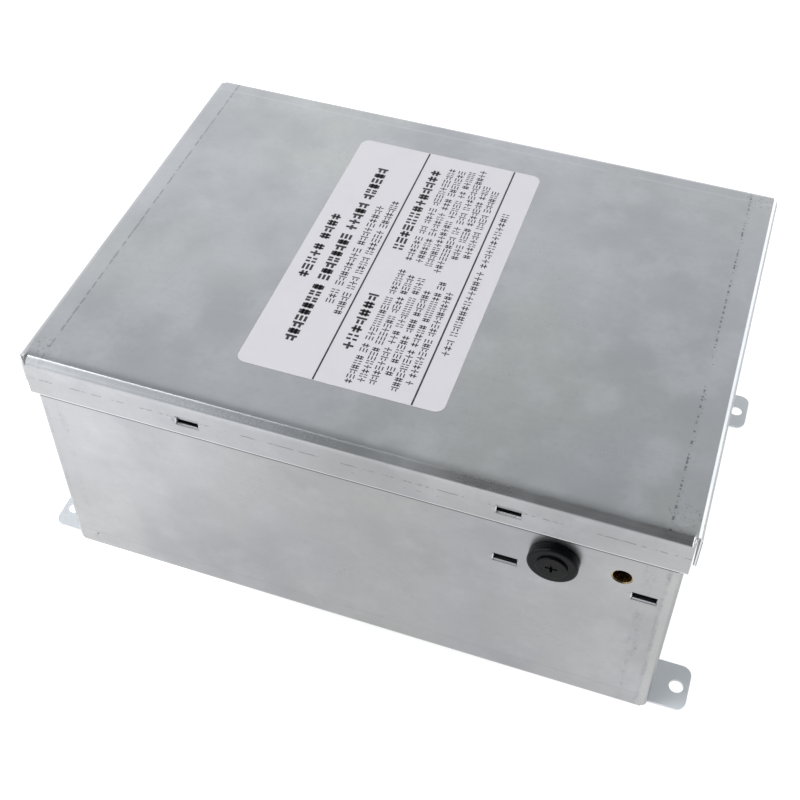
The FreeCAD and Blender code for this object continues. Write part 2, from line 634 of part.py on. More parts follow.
def make_interlock():
    """Rocker between the contactors: while one set of contacts is closed it holds the other set open."""
    y = CONTACTOR_Y
    pivot_r = 2.0
    roller_r = 1.5
    arms = [rod(4.5, (ROCKER_X, y - 7, ROCKER_Z), (0, 1, 0), 14)]
    for side in (-1, 1):
        x0, x1 = sorted((ROCKER_X, ROCKER_X + side * ROCKER_ARM))
        arms.append(block(x0, x1, y - 2.7, y + 2.7, ROCKER_Z - 1, ROCKER_Z + 1))
        arms.append(rod(roller_r, (ROCKER_X + side * ROCKER_ARM, y - 2.7, ROCKER_Z), (0, 1, 0), 5.4))
    rocker = cut(fuse(*arms), rod(pivot_r + 0.05, (ROCKER_X, y - 8, ROCKER_Z), (0, 1, 0), 16))
    rocker.rotate(V(ROCKER_X, y, ROCKER_Z), V(0, 1, 0), -ROCKER_TILT)
    parts["interlock_rocker"] = rocker

    pieces = [block(ROCKER_X - 6, ROCKER_X + 6, y - 18, y + 18, FLOOR, FLOOR + 2)]
    top = ROCKER_Z + 6
    for v0, v1 in ((-9.5, -7.5), (7.5, 9.5)):
        cheek = block(ROCKER_X - 5, ROCKER_X + 5, y + v0, y + v1, FLOOR + 1, top)
        pieces.append(round_edges(cheek, 1, [(ROCKER_X - 5, top), (ROCKER_X + 5, top)], 3.0))
    pin_hole = rod(pivot_r + 0.05, (ROCKER_X, y - 12, ROCKER_Z), (0, 1, 0), 24)
    parts["interlock_bracket"] = cut(fuse(*pieces), pin_hole)

    shank = rod(pivot_r, (ROCKER_X, y - 10, ROCKER_Z), (0, 1, 0), 20)
    heads = [rod(3.2, (ROCKER_X, y + v, ROCKER_Z), (0, 1, 0), 1) for v in (-10.5, 9.5)]
    parts["interlock_pin"] = fuse(shank, *heads)


# ---------------------------------------------------------------- load, neutral and ground
UPPER_BAR_Z = TERMINAL_TOP + 8
LOAD_SCREW_X = 46.0
LOAD_SCREW_Y = (-39.0, -53.0)
BAR = 2.0                   # thickness of the load bars


def make_load_bars():
    """Two copper bars, one above the other, join the load side of both contactors to the load block."""
    seat = TERMINAL_TOP
    first_x = [cx - POLE for cx in CONTACTOR_X.values()]
    second_x = [cx + POLE for cx in CONTACTOR_X.values()]
    end_x = LOAD_SCREW_X + 10
    bar = block(first_x[0] - 5, end_x, -44, -34, seat, seat + BAR)
    fingers = [block(x - 5, x + 5, -35, -16, seat, seat + BAR) for x in first_x]
    holes = [rod(2.7, (x, CONTACTOR_Y - 31, seat - 1), (0, 0, 1), 5) for x in first_x]
    holes.append(rod(3.1, (LOAD_SCREW_X, LOAD_SCREW_Y[0], seat - 1), (0, 0, 1), 5))
    parts["load_bar_lower"] = cut(fuse(bar, *fingers), *holes)

    high = UPPER_BAR_Z
    bar = block(second_x[0] - 5, end_x, -58, -48, high, high + BAR)
    pieces = [bar]
    holes = [rod(3.1, (LOAD_SCREW_X, LOAD_SCREW_Y[1], high - 1), (0, 0, 1), 5)]
    for x in second_x:
        pieces.append(block(x - 5, x + 5, -49, -30, high, high + BAR))
        pieces.append(block(x - 5, x + 5, -32, -30, seat, high + BAR))
        pieces.append(block(x - 5, x + 5, -32, -16, seat, seat + BAR))
        holes.append(rod(2.7, (x, CONTACTOR_Y - 31, seat - 1), (0, 0, 1), 5))
    parts["load_bar_upper"] = cut(fuse(*pieces), *holes)

    lower = rounded_block(34, 57, -46.5, -31, FLOOR, seat, 1.5)
    upper = rounded_block(34, 57, -61, -45.5, FLOOR, high, 1.5)
    wells = [rod(3.1, (LOAD_SCREW_X, y, z - 14), (0, 0, 1), 15) for y, z in zip(LOAD_SCREW_Y, (seat, high))]
    parts["load_terminal_block"] = cut(fuse(lower, upper), *wells)


NEUTRAL_Y = 58.0
NEUTRAL_TOP = 33.0
NEUTRAL_SCREWS = (66.0, 82.0, 98.0, 114.0)


def make_neutral():
    bar = block(52, 126, NEUTRAL_Y - 6, NEUTRAL_Y + 6, NEUTRAL_TOP - 10, NEUTRAL_TOP)
    holes = [rod(3.1, (x, NEUTRAL_Y, NEUTRAL_TOP - 8), (0, 0, 1), 10) for x in NEUTRAL_SCREWS]
    parts["neutral_bar"] = cut(bar, *holes)
    posts = []
    for x in (58.0, 106.0):
        post = fuse(
            rod(8, (x, NEUTRAL_Y, FLOOR), (0, 0, 1), 6),
            rod(6, (x, NEUTRAL_Y, FLOOR), (0, 0, 1), NEUTRAL_TOP - 10 - FLOOR),
            rod(7.5, (x, NEUTRAL_Y, NEUTRAL_TOP - 14), (0, 0, 1), 4),
        )
        posts.append(post)
    parts["neutral_insulators"] = group(posts)


def make_lug_screws():
    """Six alike: two on the load block and four on the neutral bar."""
    seats = (TERMINAL_TOP + BAR, UPPER_BAR_Z + BAR)
    places = [(LOAD_SCREW_X, y, z) for y, z in zip(LOAD_SCREW_Y, seats)]
    places += [(x, NEUTRAL_Y, NEUTRAL_TOP) for x in NEUTRAL_SCREWS]
    return group(pan_screw(x, y, z, 4.8, 3.0, 7.0, 2.8) for x, y, z in places)


def make_ground():
    y = 35.5
    top = 10.2
    screw_x = [64 + 12 * i for i in range(5)]
    bar = block(57, 118, y - 5, y + 5, FLOOR, top)
    holes = [rod(2.3, (x, y, top - 6), (0, 0, 1), 8) for x in screw_x]
    parts["ground_bar"] = cut(bar, *holes)
    screws = []
    for x in screw_x:
        head = hexagon(8.0, (x, y, top), (0, 0, 1), 3.0)
        slot = block(x - 4, x + 4, y - 0.5, y + 0.5, top + 1.8, top + 4)
        screws.append(cut(fuse(head, rod(2.2, (x, y, top - 5.5), (0, 0, 1), 6)), slot))
    parts["ground_screws"] = group(screws)


# ---------------------------------------------------------------- control shelf and board
BOARD_Z = 88.4
STRIP_MOUTH_X = [93.5 + 7 * i for i in range(4)]
BOARD_X = (62.0, 128.0)
BOARD_Y = (-38.0, 22.0)
BOARD_POSTS = [(66, -34), (124, -34), (66, 18), (124, 18)]
SHELF_REAR = 26.0
SHELF_FOOT_X = (66.0, 110.0)
SHELF_FOOT_Y = SHELF_REAR - 7.5


def make_control_shelf():
    """Shelf behind the front wall: two tabs in the wall's slots, and a vented rear leg with a foot."""
    half = SHEET / 2
    x0 = 58.0
    x1 = PANEL_IN - 0.7
    leg_y = SHELF_REAR
    foot_x = 118.0
    plate = block(x0, x1, FRONT_IN + 0.1, leg_y, SHELF_Z - half, SHELF_Z + half)
    leg = block(x0, x1, leg_y - SHEET, leg_y, FLOOR + SHEET + 0.2, SHELF_Z + half)
    shelf = fuse(plate, leg)
    shelf = round_edges(shelf, 0, [(leg_y, SHELF_Z + half)], BEND)
    shelf = round_edges(shelf, 0, [(leg_y - SHEET, SHELF_Z - half)], BEND - SHEET)
    foot = block(x0, foot_x, leg_y - 13, leg_y, FLOOR, FLOOR + SHEET)
    web = block(x0, foot_x, leg_y - SHEET, leg_y, FLOOR, FLOOR + SHEET + 1)
    tabs = []
    for x in SHELF_SLOT_X:
        tabs.append(block(x - 4.7, x + 4.7, FRONT + 0.25, FRONT_IN + 1, SHELF_Z - half, SHELF_Z + half))
    vents = []
    for i in range(5):
        z = 22.0 + 10 * i
        vents.append(block(x0 + 14, x1 - 14, leg_y - 3, leg_y + 1, z - 1.2, z + 1.2))
    screw_holes = [rod(2.4, (x, SHELF_FOOT_Y, 0), (0, 0, 1), 5) for x in SHELF_FOOT_X]
    return cut(fuse(shelf, foot, web, *tabs), *vents, *screw_holes)


def make_board():
    top = BOARD_Z + 1.6
    board = rounded_block(*BOARD_X, *BOARD_Y, BOARD_Z, top, 2.0)
    post_holes = [rod(1.7, (x, y, BOARD_Z - 1), (0, 0, 1), 4) for x, y in BOARD_POSTS]
    parts["control_board"] = cut(board, *post_holes)

    shelf_top = SHELF_Z + SHEET / 2
    posts = [hexagon(6.0, (x, y, shelf_top), (0, 0, 1), BOARD_Z - shelf_top) for x, y in BOARD_POSTS]
    posts = [cut(p, rod(1.5, (x, y, shelf_top - 1), (0, 0, 1), 9)) for p, (x, y) in zip(posts, BOARD_POSTS)]
    parts["board_standoffs"] = group(posts)
    parts["board_screws"] = group(pan_screw(x, y, top, 2.8, 1.4, 6.0, 1.8) for x, y in BOARD_POSTS)

    mid_x = 83.0
    mid_y = 4.0
    foot = top + 1.5
    stack = block(mid_x - 15, mid_x + 15, mid_y - 7, mid_y + 7, foot, foot + 25)
    windows = [block(mid_x + u - 3.5, mid_x + u + 3.5, -20, 30, foot + 5, foot + 20) for u in (-7.5, 7.5)]
    parts["transformer_core"] = cut(stack, *windows)
    leg = block(mid_x - 4.0, mid_x + 4.0, mid_y - 7, mid_y + 7, top, foot + 30)
    end_levels = (foot + 5.2, foot + 18.6)
    ends = [block(mid_x - 10.5, mid_x + 10.5, mid_y - 13, mid_y + 13, z, z + 1.2) for z in end_levels]
    coil_levels = (foot + 6.4, foot + 18.6)
    windings = rounded_block(mid_x - 10, mid_x + 10, mid_y - 12.5, mid_y + 12.5, *coil_levels, 3.0)
    pins = [rod(0.5, (mid_x + u, mid_y + v, top), (0, 0, 1), 6.7) for u in (-8, 0, 8) for v in (-11, 11)]
    parts["transformer_coil"] = cut(fuse(windings, *ends, *pins), leg)

    relays = []
    for y in (-1.0, -20.0):
        relay = rounded_block(104, 123, y, y + 15.5, top, top + 15.5, 0.8)
        relays.append(relay)
    parts["board_relays"] = group(relays)

    caps = []
    for x in (72.0, 84.0):
        can = rod(5.0, (x, -21, top), (0, 0, 1), 15)
        groove = Part.makeTorus(5.3, 0.6, V(x, -21, top + 2.4), V(0, 0, 1))
        caps.append(cut(can, groove))
    parts["board_capacitors"] = group(caps)

    strip = block(STRIP_MOUTH_X[0] - 3.5, STRIP_MOUTH_X[-1] + 3.5, -37, -28, top, top + 11)
    screws = [rod(1.9, (x, -31.6, top + 8.5), (0, 0, 1), 4) for x in STRIP_MOUTH_X]
    mouths = [block(x - 2.2, x + 2.2, -38, -33, top + 1.5, top + 6) for x in STRIP_MOUTH_X]
    parts["board_terminal_strip"] = cut(strip, *screws, *mouths)


# ---------------------------------------------------------------- wires
WIRE_R = 0.9


def make_coil_wires():
    """Four wires from the coil blades, over the load bars, to the board's terminal strip."""
    blade_x = [cx + u for cx in CONTACTOR_X.values() for u in (-BLADE_U, BLADE_U)]
    blade_y = CONTACTOR_Y + BLADE_V
    mouth_z = BOARD_Z + 1.6 + 3.7
    wires = []
    for i, (x0, x1) in enumerate(zip(blade_x, STRIP_MOUTH_X)):
        lane = 2.6 * i
        cross_z = 64.0 + lane
        bend_x = 51.0 - lane
        front_y = -44.5 - lane / 2
        high_z = BOARD_Z + 10 + lane / 2
        wires.append(insulated_wire([
            (x0, blade_y, BLADE_TOP + 0.3),
            (x0, blade_y, cross_z),
            (bend_x - 22, blade_y - 4, cross_z + 1),
            (bend_x, -32 - lane, cross_z + 12),
            (bend_x + 12, front_y, high_z),
            (x1 - 2, front_y, high_z),
            (x1, -39.5, mouth_z + 0.6),
            (x1, -33.6, mouth_z),
        ], WIRE_R))
    return wires


def make_fuse_wires():
    """Two wires from the fuse holder's tags to the board."""
    board_top = BOARD_Z + 1.6
    tag_z = FUSE_Z + 15
    rear = insulated_wire([
        (FUSE_X - 3.4, -43.0, FUSE_Z + 0.2),
        (FUSE_X - 9, -43.0, FUSE_Z + 3),
        (FUSE_X - 13, -42.0, board_top + 8),
        (FUSE_X - 16, -33.5, board_top + 8),
        (FUSE_X - 16, -32.0, board_top + 0.4),
    ], WIRE_R)
    side = insulated_wire([
        (FUSE_X, -60.0, tag_z + 0.1),
        (FUSE_X, -60.0, tag_z + 7),
        (FUSE_X - 12, -50.0, tag_z + 8),
        (FUSE_X - 10, -31.5, tag_z),
        (FUSE_X - 9.5, -30.0, board_top + 0.4),
    ], WIRE_R)
    return [rear, side]


# ---------------------------------------------------------------- build
parts["case_tray"] = make_case_tray()
parts["side_panel_left"] = make_side_panel(-1)
parts["side_panel_right"] = make_side_panel(1)
parts["cover"] = make_cover()
parts["rating_label"] = make_rating_label()
make_fuse_holder()
parts["fuse_cap"] = make_fuse_cap()
make_fuse_link()
parts["brass_bush"] = make_brass_bush()
parts["cable_clamp_bodies"] = group(make_clamp_body(x) for x in ENTRY_X.values())
parts["cable_clamp_locknuts"] = group(make_locknut(x) for x in ENTRY_X.values())
for entry, entry_x in ENTRY_X.items():
    parts[entry + "_clamp_saddle"] = make_saddle(entry_x)
    parts[entry + "_clamp_screws"] = make_saddle_screws(entry_x)
make_contactors()
parts["terminal_screws"] = make_terminal_screws()
parts["mounting_screws"] = make_mounting_screws()
make_interlock()
make_load_bars()
make_neutral()
parts["lug_screws"] = make_lug_screws()
make_ground()
parts["control_shelf"] = make_control_shelf()
make_board()
parts["control_wires"] = group(make_coil_wires() + make_fuse_wires())

os.makedirs("parts", exist_ok=True)
for name, shape in parts.items():
    shape.translate(V(0, -HOLES_MIDDLE_Y, 0))
    problem = "" if shape.isValid() else " INVALID"
    print(f"{name}: {len(shape.Solids)} solids, {shape.Volume / 1000:.2f} cm3{problem}")
    shape.exportStep(f"parts/{name}.step")
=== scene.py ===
import json
import math
import random

import bmesh
import bpy
from mathutils import Matrix, Vector


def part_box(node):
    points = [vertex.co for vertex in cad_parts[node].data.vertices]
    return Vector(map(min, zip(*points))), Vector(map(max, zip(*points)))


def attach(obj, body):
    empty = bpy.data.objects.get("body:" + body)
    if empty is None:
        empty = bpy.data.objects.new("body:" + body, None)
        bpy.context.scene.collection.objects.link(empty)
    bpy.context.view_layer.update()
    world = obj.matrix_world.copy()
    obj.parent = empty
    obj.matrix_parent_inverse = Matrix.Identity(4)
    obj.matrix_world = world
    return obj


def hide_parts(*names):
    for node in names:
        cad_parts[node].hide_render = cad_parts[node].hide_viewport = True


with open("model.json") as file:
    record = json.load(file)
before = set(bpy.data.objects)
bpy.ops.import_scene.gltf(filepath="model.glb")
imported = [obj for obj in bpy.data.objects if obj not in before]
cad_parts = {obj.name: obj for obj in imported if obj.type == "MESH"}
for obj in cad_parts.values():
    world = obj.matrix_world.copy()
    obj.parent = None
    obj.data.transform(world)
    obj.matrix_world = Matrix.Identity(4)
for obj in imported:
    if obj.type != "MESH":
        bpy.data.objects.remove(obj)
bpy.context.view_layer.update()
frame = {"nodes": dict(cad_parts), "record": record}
nodes = frame["nodes"]

MM = 0.001


# ---------------------------------------------------------------- node graphs
class Graph:
    """Short calls for building one node tree."""

    def __init__(self, tree):
        self.tree = tree
        tree.nodes.clear()

    def add(self, kind, inputs=None, **settings):
        node = self.tree.nodes.new("ShaderNode" + kind)
        for key, value in settings.items():
            setattr(node, key, value)
        for key, value in (inputs or {}).items():
            self.put(node.inputs[key], value)
        return node

    def put(self, socket, value):
        if isinstance(value, bpy.types.NodeSocket):
            self.tree.links.new(value, socket)
        elif hasattr(value, "__len__") and socket.type == "RGBA":
            socket.default_value = (*value[:3], 1.0)
        else:
            socket.default_value = value

    def math(self, operation, *values):
        return self.add("Math", dict(enumerate(values)), operation=operation).outputs[0]

    def vector(self, operation, *values):
        node = self.add("VectorMath", dict(enumerate(values)), operation=operation)
        gives_number = operation in ("DOT_PRODUCT", "DISTANCE")
        return node.outputs["Value" if gives_number else "Vector"]

    def remap(self, value, low, high, to_low=0.0, to_high=1.0, smooth=True):
        inputs = {"Value": value, "From Min": low, "From Max": high,
                  "To Min": to_low, "To Max": to_high}
        kind = "SMOOTHSTEP" if smooth else "LINEAR"
        return self.add("MapRange", inputs, interpolation_type=kind).outputs["Result"]

    def mix(self, factor, a, b):
        node = self.add("Mix", data_type="RGBA")
        self.put(node.inputs["Factor"], factor)
        self.put(node.inputs["A"], a)
        self.put(node.inputs["B"], b)
        return node.outputs["Result"]

    def noise(self, place, scale, detail=3.0, rough=0.5, seed=0.0):
        inputs = {"Vector": place, "W": seed, "Scale": scale,
                  "Detail": detail, "Roughness": rough}
        return self.add("TexNoise", inputs, noise_dimensions="4D").outputs["Fac"]

    def stretched(self, place, x, y, z):
        return self.vector("MULTIPLY", place, (x, y, z))

    def axes(self, place):
        return self.add("SeparateXYZ", {0: place}).outputs

    def near(self, value, at, half, soft):
        """1 where value is within half of at, fading to 0 over soft."""
        away = self.math("ABSOLUTE", self.math("SUBTRACT", value, at))
        return self.remap(away, half + soft, half)


def look(name):
    """A new material: its graph, and where the surface is in the row frame."""
    made = bpy.data.materials.new(name)
    made.use_nodes = True
    graph = Graph(made.node_tree)
    graph.material = made
    place = graph.add("TexCoord").outputs["Object"]
    return graph, place


def surface(graph, color, roughness, metallic, height, distance, strength, **sockets):
    """The shader, a bump of height times distance, and any other sockets by name."""
    inputs = {"Base Color": color, "Roughness": roughness, "Metallic": metallic}
    for key, value in sockets.items():
        inputs[key.replace("_", " ")] = value
    shader = graph.add("BsdfPrincipled", inputs)
    bump = graph.add("Bump", {"Height": height, "Distance": distance, "Strength": strength})
    graph.put(shader.inputs["Normal"], bump.outputs["Normal"])
    out = graph.add("OutputMaterial")
    graph.put(out.inputs["Surface"], shader.outputs[0])
    return graph.material


# ---------------------------------------------------------------- sheet steel
ZINC = (0.380, 0.384, 0.401)
ZINC_WARM = (0.379, 0.382, 0.380)
ZINC_DARK = (0.298, 0.305, 0.322)
ZINC_LIGHT = (0.462, 0.467, 0.487)
# painted highlight for the case's right corner bend
ZINC_WARM_HIGHLIGHT = (0.50, 0.495, 0.47)
PALE_EDGE = (0.72, 0.73, 0.74)
STAIN = (0.095, 0.10, 0.11)
SHADOW = (0.035, 0.036, 0.04)
PALE = (0.73, 0.752, 0.775)
PALE_EAR = (0.640, 0.665, 0.690)
DULL = (PALE, PALE_EAR)             # marks of these colours take most of the metallic away
DULLING = 0.80
GRAIN_RELIEF = 0.02 * MM
PEEL_RELIEF = 0.03 * MM             # pressed skin on the fold
FOLD_SINK = 1.25 * MM
FOLD_SPREAD = 3.1 * MM


def zinc_sheet(name, seed, marks=None, fold=None):
    """Cloudy galvanised sheet: soft patches, mottling and rolled grain.

    marks(graph, place) gives pairs of a mask and a colour, for handling, folds and cut edges,
    and for painted shade and highlights. fold(graph, place) gives a mask of a fold that is softer
    than its bend.
    """
    g, place = look(name)
    cloud = g.noise(place, 19.0, 3.0, 0.55, seed)
    patch = g.noise(place, 46.0, 4.0, 0.6, seed + 3.1)
    hue = g.noise(place, 13.0, 2.0, 0.5, seed + 7.7)
    mottle = g.noise(place, 380.0, 3.0, 0.6, seed + 5.3)
    grain = g.noise(g.stretched(place, 60.0, 900.0, 900.0), 1.0, 3.0, 0.6, seed)
    fine = g.noise(place, 1100.0, 2.0, 0.6, seed)

    color = g.mix(g.remap(hue, 0.42, 0.64), ZINC, ZINC_WARM)
    color = g.mix(g.remap(cloud, 0.40, 0.66, 0.0, 0.52), color, ZINC_DARK)
    color = g.mix(g.remap(patch, 0.46, 0.70, 0.0, 0.44), color, ZINC_LIGHT)
    color = g.mix(g.remap(mottle, 0.45, 0.75, 0.0, 0.22), color, ZINC_DARK)
    color = g.mix(g.remap(grain, 0.35, 0.75, 0.0, 0.10), color, ZINC_DARK)

    relief = g.math("MULTIPLY_ADD", grain, 0.5, g.math("MULTIPLY", fine, 0.10))
    relief = g.math("MULTIPLY", relief, GRAIN_RELIEF)
    metallic = 1.0
    for mask, shade in (marks(g, place) if marks else ()):
        color = g.mix(mask, color, shade)
        if shade in DULL:
            metallic = g.math("MULTIPLY_ADD", mask, -DULLING, metallic)
    rough = g.math("ADD", g.remap(cloud, 0.3, 0.7, 0.26, 0.33),
                   g.remap(patch, 0.35, 0.7, 0.0, 0.06))
    if fold:
        mask = fold(g, place)
        peel = g.noise(g.stretched(place, 700.0, 1100.0, 1100.0), 1.0, 3.0, 0.65, seed + 2.0)
        relief = g.math("MULTIPLY_ADD", g.math("MULTIPLY", mask, peel), PEEL_RELIEF, relief)
        relief = g.math("MULTIPLY_ADD", mask, -FOLD_SINK, relief)
        rough = g.math("MULTIPLY_ADD", mask, -0.04, rough)
    return surface(g, color, rough, metallic, relief, 1.0, 1.0)


# Places on the sheet metal, in the row frame.
cover_low, cover_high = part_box("cover")
board_low, board_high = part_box("control_board")
CASE_HALF = 136.3 * MM              # along X, without the ears
FRONT_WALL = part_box("case_tray")[0].y
EAR_TOP = 1.2 * MM
LIP_BOTTOM = cover_high.z - 20.1 * MM
LIP_SHADOW_Z = LIP_BOTTOM - 2.2 * MM        # a dark line on the case wall
LATCH_SLOTS = (-65.1 * MM, 68.3 * MM)
LATCH_SLOT_Z = 115.8 * MM
SHELF_SLOTS = (68.5 * MM, 124.5 * MM)
SHELF_SLOT_Z = 82.2 * MM
SLOT_HALF_LENGTH = 4.95 * MM
SLOT_HALF_HEIGHT = 2.45 * MM
LOW_LINE_Z = 11.3 * MM              # a faint level line near the foot of the front wall
REAR_LINE_Y = cover_high.y - 8.2 * MM       # a faint line along the cover's rear edge
# Lighter bands along the sides of the cover's top, a painted reflection of the side bends that
# reflect brighter: where each fades in, and how strong it is.
TOP_REFLECTION_BANDS = (
    (cover_low.x + 11.4 * MM, cover_low.x + 9.0 * MM, 0.22),
    (cover_high.x - 13.0 * MM, cover_high.x - 10.0 * MM, 0.20),
)
# Worn lines on the cover's top: place, half width, pitch of the strokes, amount, strength, seed.
TOP_LINES = (
    (cover_low.x + 10.6 * MM, 0.42 * MM, 5.0 * MM, 0.62, 0.42, 2.0),
    (cover_high.x - 12.2 * MM, 0.44 * MM, 1.7 * MM, 0.46, 0.72, 5.0),
    (cover_high.x - 11.2 * MM, 0.34 * MM, 1.3 * MM, 0.28, 0.62, 9.0),
)
# Worn lines on the front lip: distance below the top, amount, strength, seed.
LIP_LINES = ((10.4 * MM, 0.55, 0.50, 4.0), (14.6 * MM, 0.20, 0.32, 6.0))
LIP_LINE_HALF, LIP_LINE_PITCH = 0.30 * MM, 2.6 * MM
# Stretched corners of the cover's top: place and reach.
CORNERS = (
    (cover_low.x + 8.5 * MM, cover_low.y + 6.5 * MM, 12.0 * MM),
    (cover_high.x - 8.0 * MM, cover_low.y + 9.0 * MM, 11.0 * MM),
    (cover_high.x - 9.0 * MM, cover_high.y - 6.0 * MM, 10.0 * MM),
)
# Soiled upright lines on the front wall: place, half width, softness, strength.
SOIL_LINES = (
    (-CASE_HALF + 10.0 * MM, 0.5 * MM, 2.0 * MM, 0.30),
    (CASE_HALF - 12.0 * MM, 0.9 * MM, 2.6 * MM, 0.50),
    (CASE_HALF - 5.0 * MM, 0.4 * MM, 1.1 * MM, 0.85),
    (-CASE_HALF + 3.0 * MM, 0.3 * MM, 1.0 * MM, 0.55),
)


def line_noise(g, value, scale, detail, seed):
    """Noise that changes only along value."""
    way = g.add("CombineXYZ", {"X": value, "Y": 0.0, "Z": 0.0}).outputs[0]
    return g.noise(way, scale, detail, 0.6, seed)


def dashes(g, across, along, half, pitch, amount, seed):
    """A worn line: strokes of uneven length and thickness along one axis, with bare stretches."""
    more = 0.3 * amount
    stroke = g.remap(line_noise(g, along, 1.0 / pitch, 3.0, seed), 0.62 - more, 0.70 - more)
    stretch = g.remap(line_noise(g, along, 38.0, 2.0, seed + 1.0), 0.50 - more, 0.62 - more)
    drawn = g.math("MULTIPLY", stroke, stretch)
    width = g.math("MULTIPLY_ADD", drawn, half, 0.02 * MM)
    wander = line_noise(g, along, 240.0, 2.0, seed + 2.0)
    wander = g.math("MULTIPLY_ADD", wander, 0.9 * MM, -0.45 * MM)
    away = g.math("ABSOLUTE", g.math("ADD", across, wander))
    return g.math("MULTIPLY", g.remap(g.math("DIVIDE", away, width), 1.4, 0.4), drawn)


def product(g, first, *others):
    """All the values multiplied together."""
    for other in others:
        first = g.math("MULTIPLY", first, other)
    return first


def offset(g, value, at):
    """How far value is past at."""
    return g.math("SUBTRACT", value, at)


def front_fold(g, place):
    """The front bend of the cover, pressed softer than a true arc, between the corners."""
    x, y, z = g.axes(place)
    along_sheet = g.math("SUBTRACT", offset(g, y, cover_low.y), offset(g, cover_high.z, z))
    spread = g.math("MULTIPLY", along_sheet, 1.0 / FOLD_SPREAD)
    bell = g.math("EXPONENT", g.math("MULTIPLY", g.math("MULTIPLY", spread, spread), -1.0))
    ends = product(g, g.remap(x, cover_low.x + 3.4 * MM, cover_low.x + 4.6 * MM),
                   g.remap(x, cover_high.x - 2.2 * MM, cover_high.x - 3.4 * MM))
    return g.math("MULTIPLY", bell, ends)


def slot_rims(g, x, z, places, level):
    """A thin band round each slot, where the punch left bright edges."""
    rims = None
    for at in places:
        dx = g.math("SUBTRACT", g.math("ABSOLUTE", offset(g, x, at)), SLOT_HALF_LENGTH)
        dz = g.math("SUBTRACT", g.math("ABSOLUTE", offset(g, z, level)), SLOT_HALF_HEIGHT)
        rim = g.remap(g.math("MAXIMUM", dx, dz), 0.55 * MM, 0.15 * MM)
        rims = rim if rims is None else g.math("MAXIMUM", rims, rim)
    return rims


def cover_marks(g, place):
    """Broken tooling lines along the folded edges, stretched corners, and bright cut edges, with
    painted light: a reflection along the top's sides, a highlight on the lip's bottom edge, and
    shade along the edges of the lip ends.
    """
    x, y, z = g.axes(place)
    top = g.remap(z, cover_high.z - 0.6 * MM, cover_high.z - 0.1 * MM)
    blotch = g.noise(place, 330.0, 4.0, 0.65, 4.0)
    grit = g.noise(place, 900.0, 3.0, 0.7, 5.0)
    # painted reflection: the top lighter along its sides, towards the side bends
    for start, end, strength in TOP_REFLECTION_BANDS:
        yield product(g, g.remap(x, start, end), top, strength), ZINC_LIGHT
    for at, half, pitch, amount, strength, seed in TOP_LINES:
        line = dashes(g, offset(g, x, at), y, half, pitch, amount, seed)
        yield product(g, line, top, strength), STAIN
    rear_line = g.near(y, REAR_LINE_Y, 0.2 * MM, 0.5 * MM)
    gaps = g.remap(line_noise(g, x, 20.0, 3.0, 3.0), 0.38, 0.45)
    yield product(g, rear_line, top, gaps, 0.35), ZINC_LIGHT
    lip = g.remap(y, cover_low.y + 0.9 * MM, cover_low.y + 0.3 * MM)
    for drop, amount, strength, seed in LIP_LINES:
        below = offset(g, z, cover_high.z - drop)
        line = dashes(g, below, x, LIP_LINE_HALF, LIP_LINE_PITCH, amount, seed)
        yield product(g, line, lip, strength), STAIN
    smear = g.noise(g.stretched(place, 40.0, 300.0, 300.0), 1.0, 4.0, 0.65, 8.0)
    yield product(g, g.remap(smear, 0.52, 0.75), lip, 0.10), ZINC_DARK
    # painted highlight: a thin pale line just above the lip's bottom edge, where its rounded edge
    # catches the light
    lip_edge_highlight = g.near(z, LIP_BOTTOM + 0.15 * MM, 0.12 * MM, 0.3 * MM)
    yield product(g, lip_edge_highlight, lip, 0.7), PALE_EDGE
    for cx, cy, reach in CORNERS:
        away = g.vector("DISTANCE", place, (cx, cy, cover_high.z))
        near = g.remap(away, reach, reach * 0.35)
        yield product(g, near, g.remap(blotch, 0.50, 0.66), 0.45), ZINC_LIGHT
        pits = g.remap(grit, 0.53, 0.66)
        yield product(g, near, pits, g.remap(blotch, 0.56, 0.46), 0.55), STAIN
    lip_end = product(g, g.remap(y, cover_low.y + 3.5 * MM, cover_low.y + 3.2 * MM),
                      g.remap(z, cover_high.z - 0.3 * MM, cover_high.z - 0.9 * MM))
    for depth in (offset(g, x, cover_low.x), offset(g, cover_high.x, x)):
        sheet = product(g, lip_end, g.remap(depth, 1.40 * MM, 1.25 * MM))
        skins = g.math("MAXIMUM", g.remap(depth, 0.32 * MM, 0.18 * MM),
                       g.remap(depth, 0.80 * MM, 0.95 * MM))
        # each lip end's cut face is pale, with painted shade as dark bands along its edges
        yield g.math("MULTIPLY", sheet, 0.7), PALE_EDGE
        yield product(g, sheet, skins, 0.85), SHADOW
    rims = slot_rims(g, x, z, LATCH_SLOTS, LATCH_SLOT_Z)
    inside = g.remap(y, cover_low.y + 0.05 * MM, cover_low.y + 0.15 * MM)
    shallow = g.remap(y, cover_low.y + 4.0 * MM, cover_low.y + 2.0 * MM)
    yield product(g, rims, inside, shallow), PALE
    yield product(g, rims, lip, 0.30), STAIN


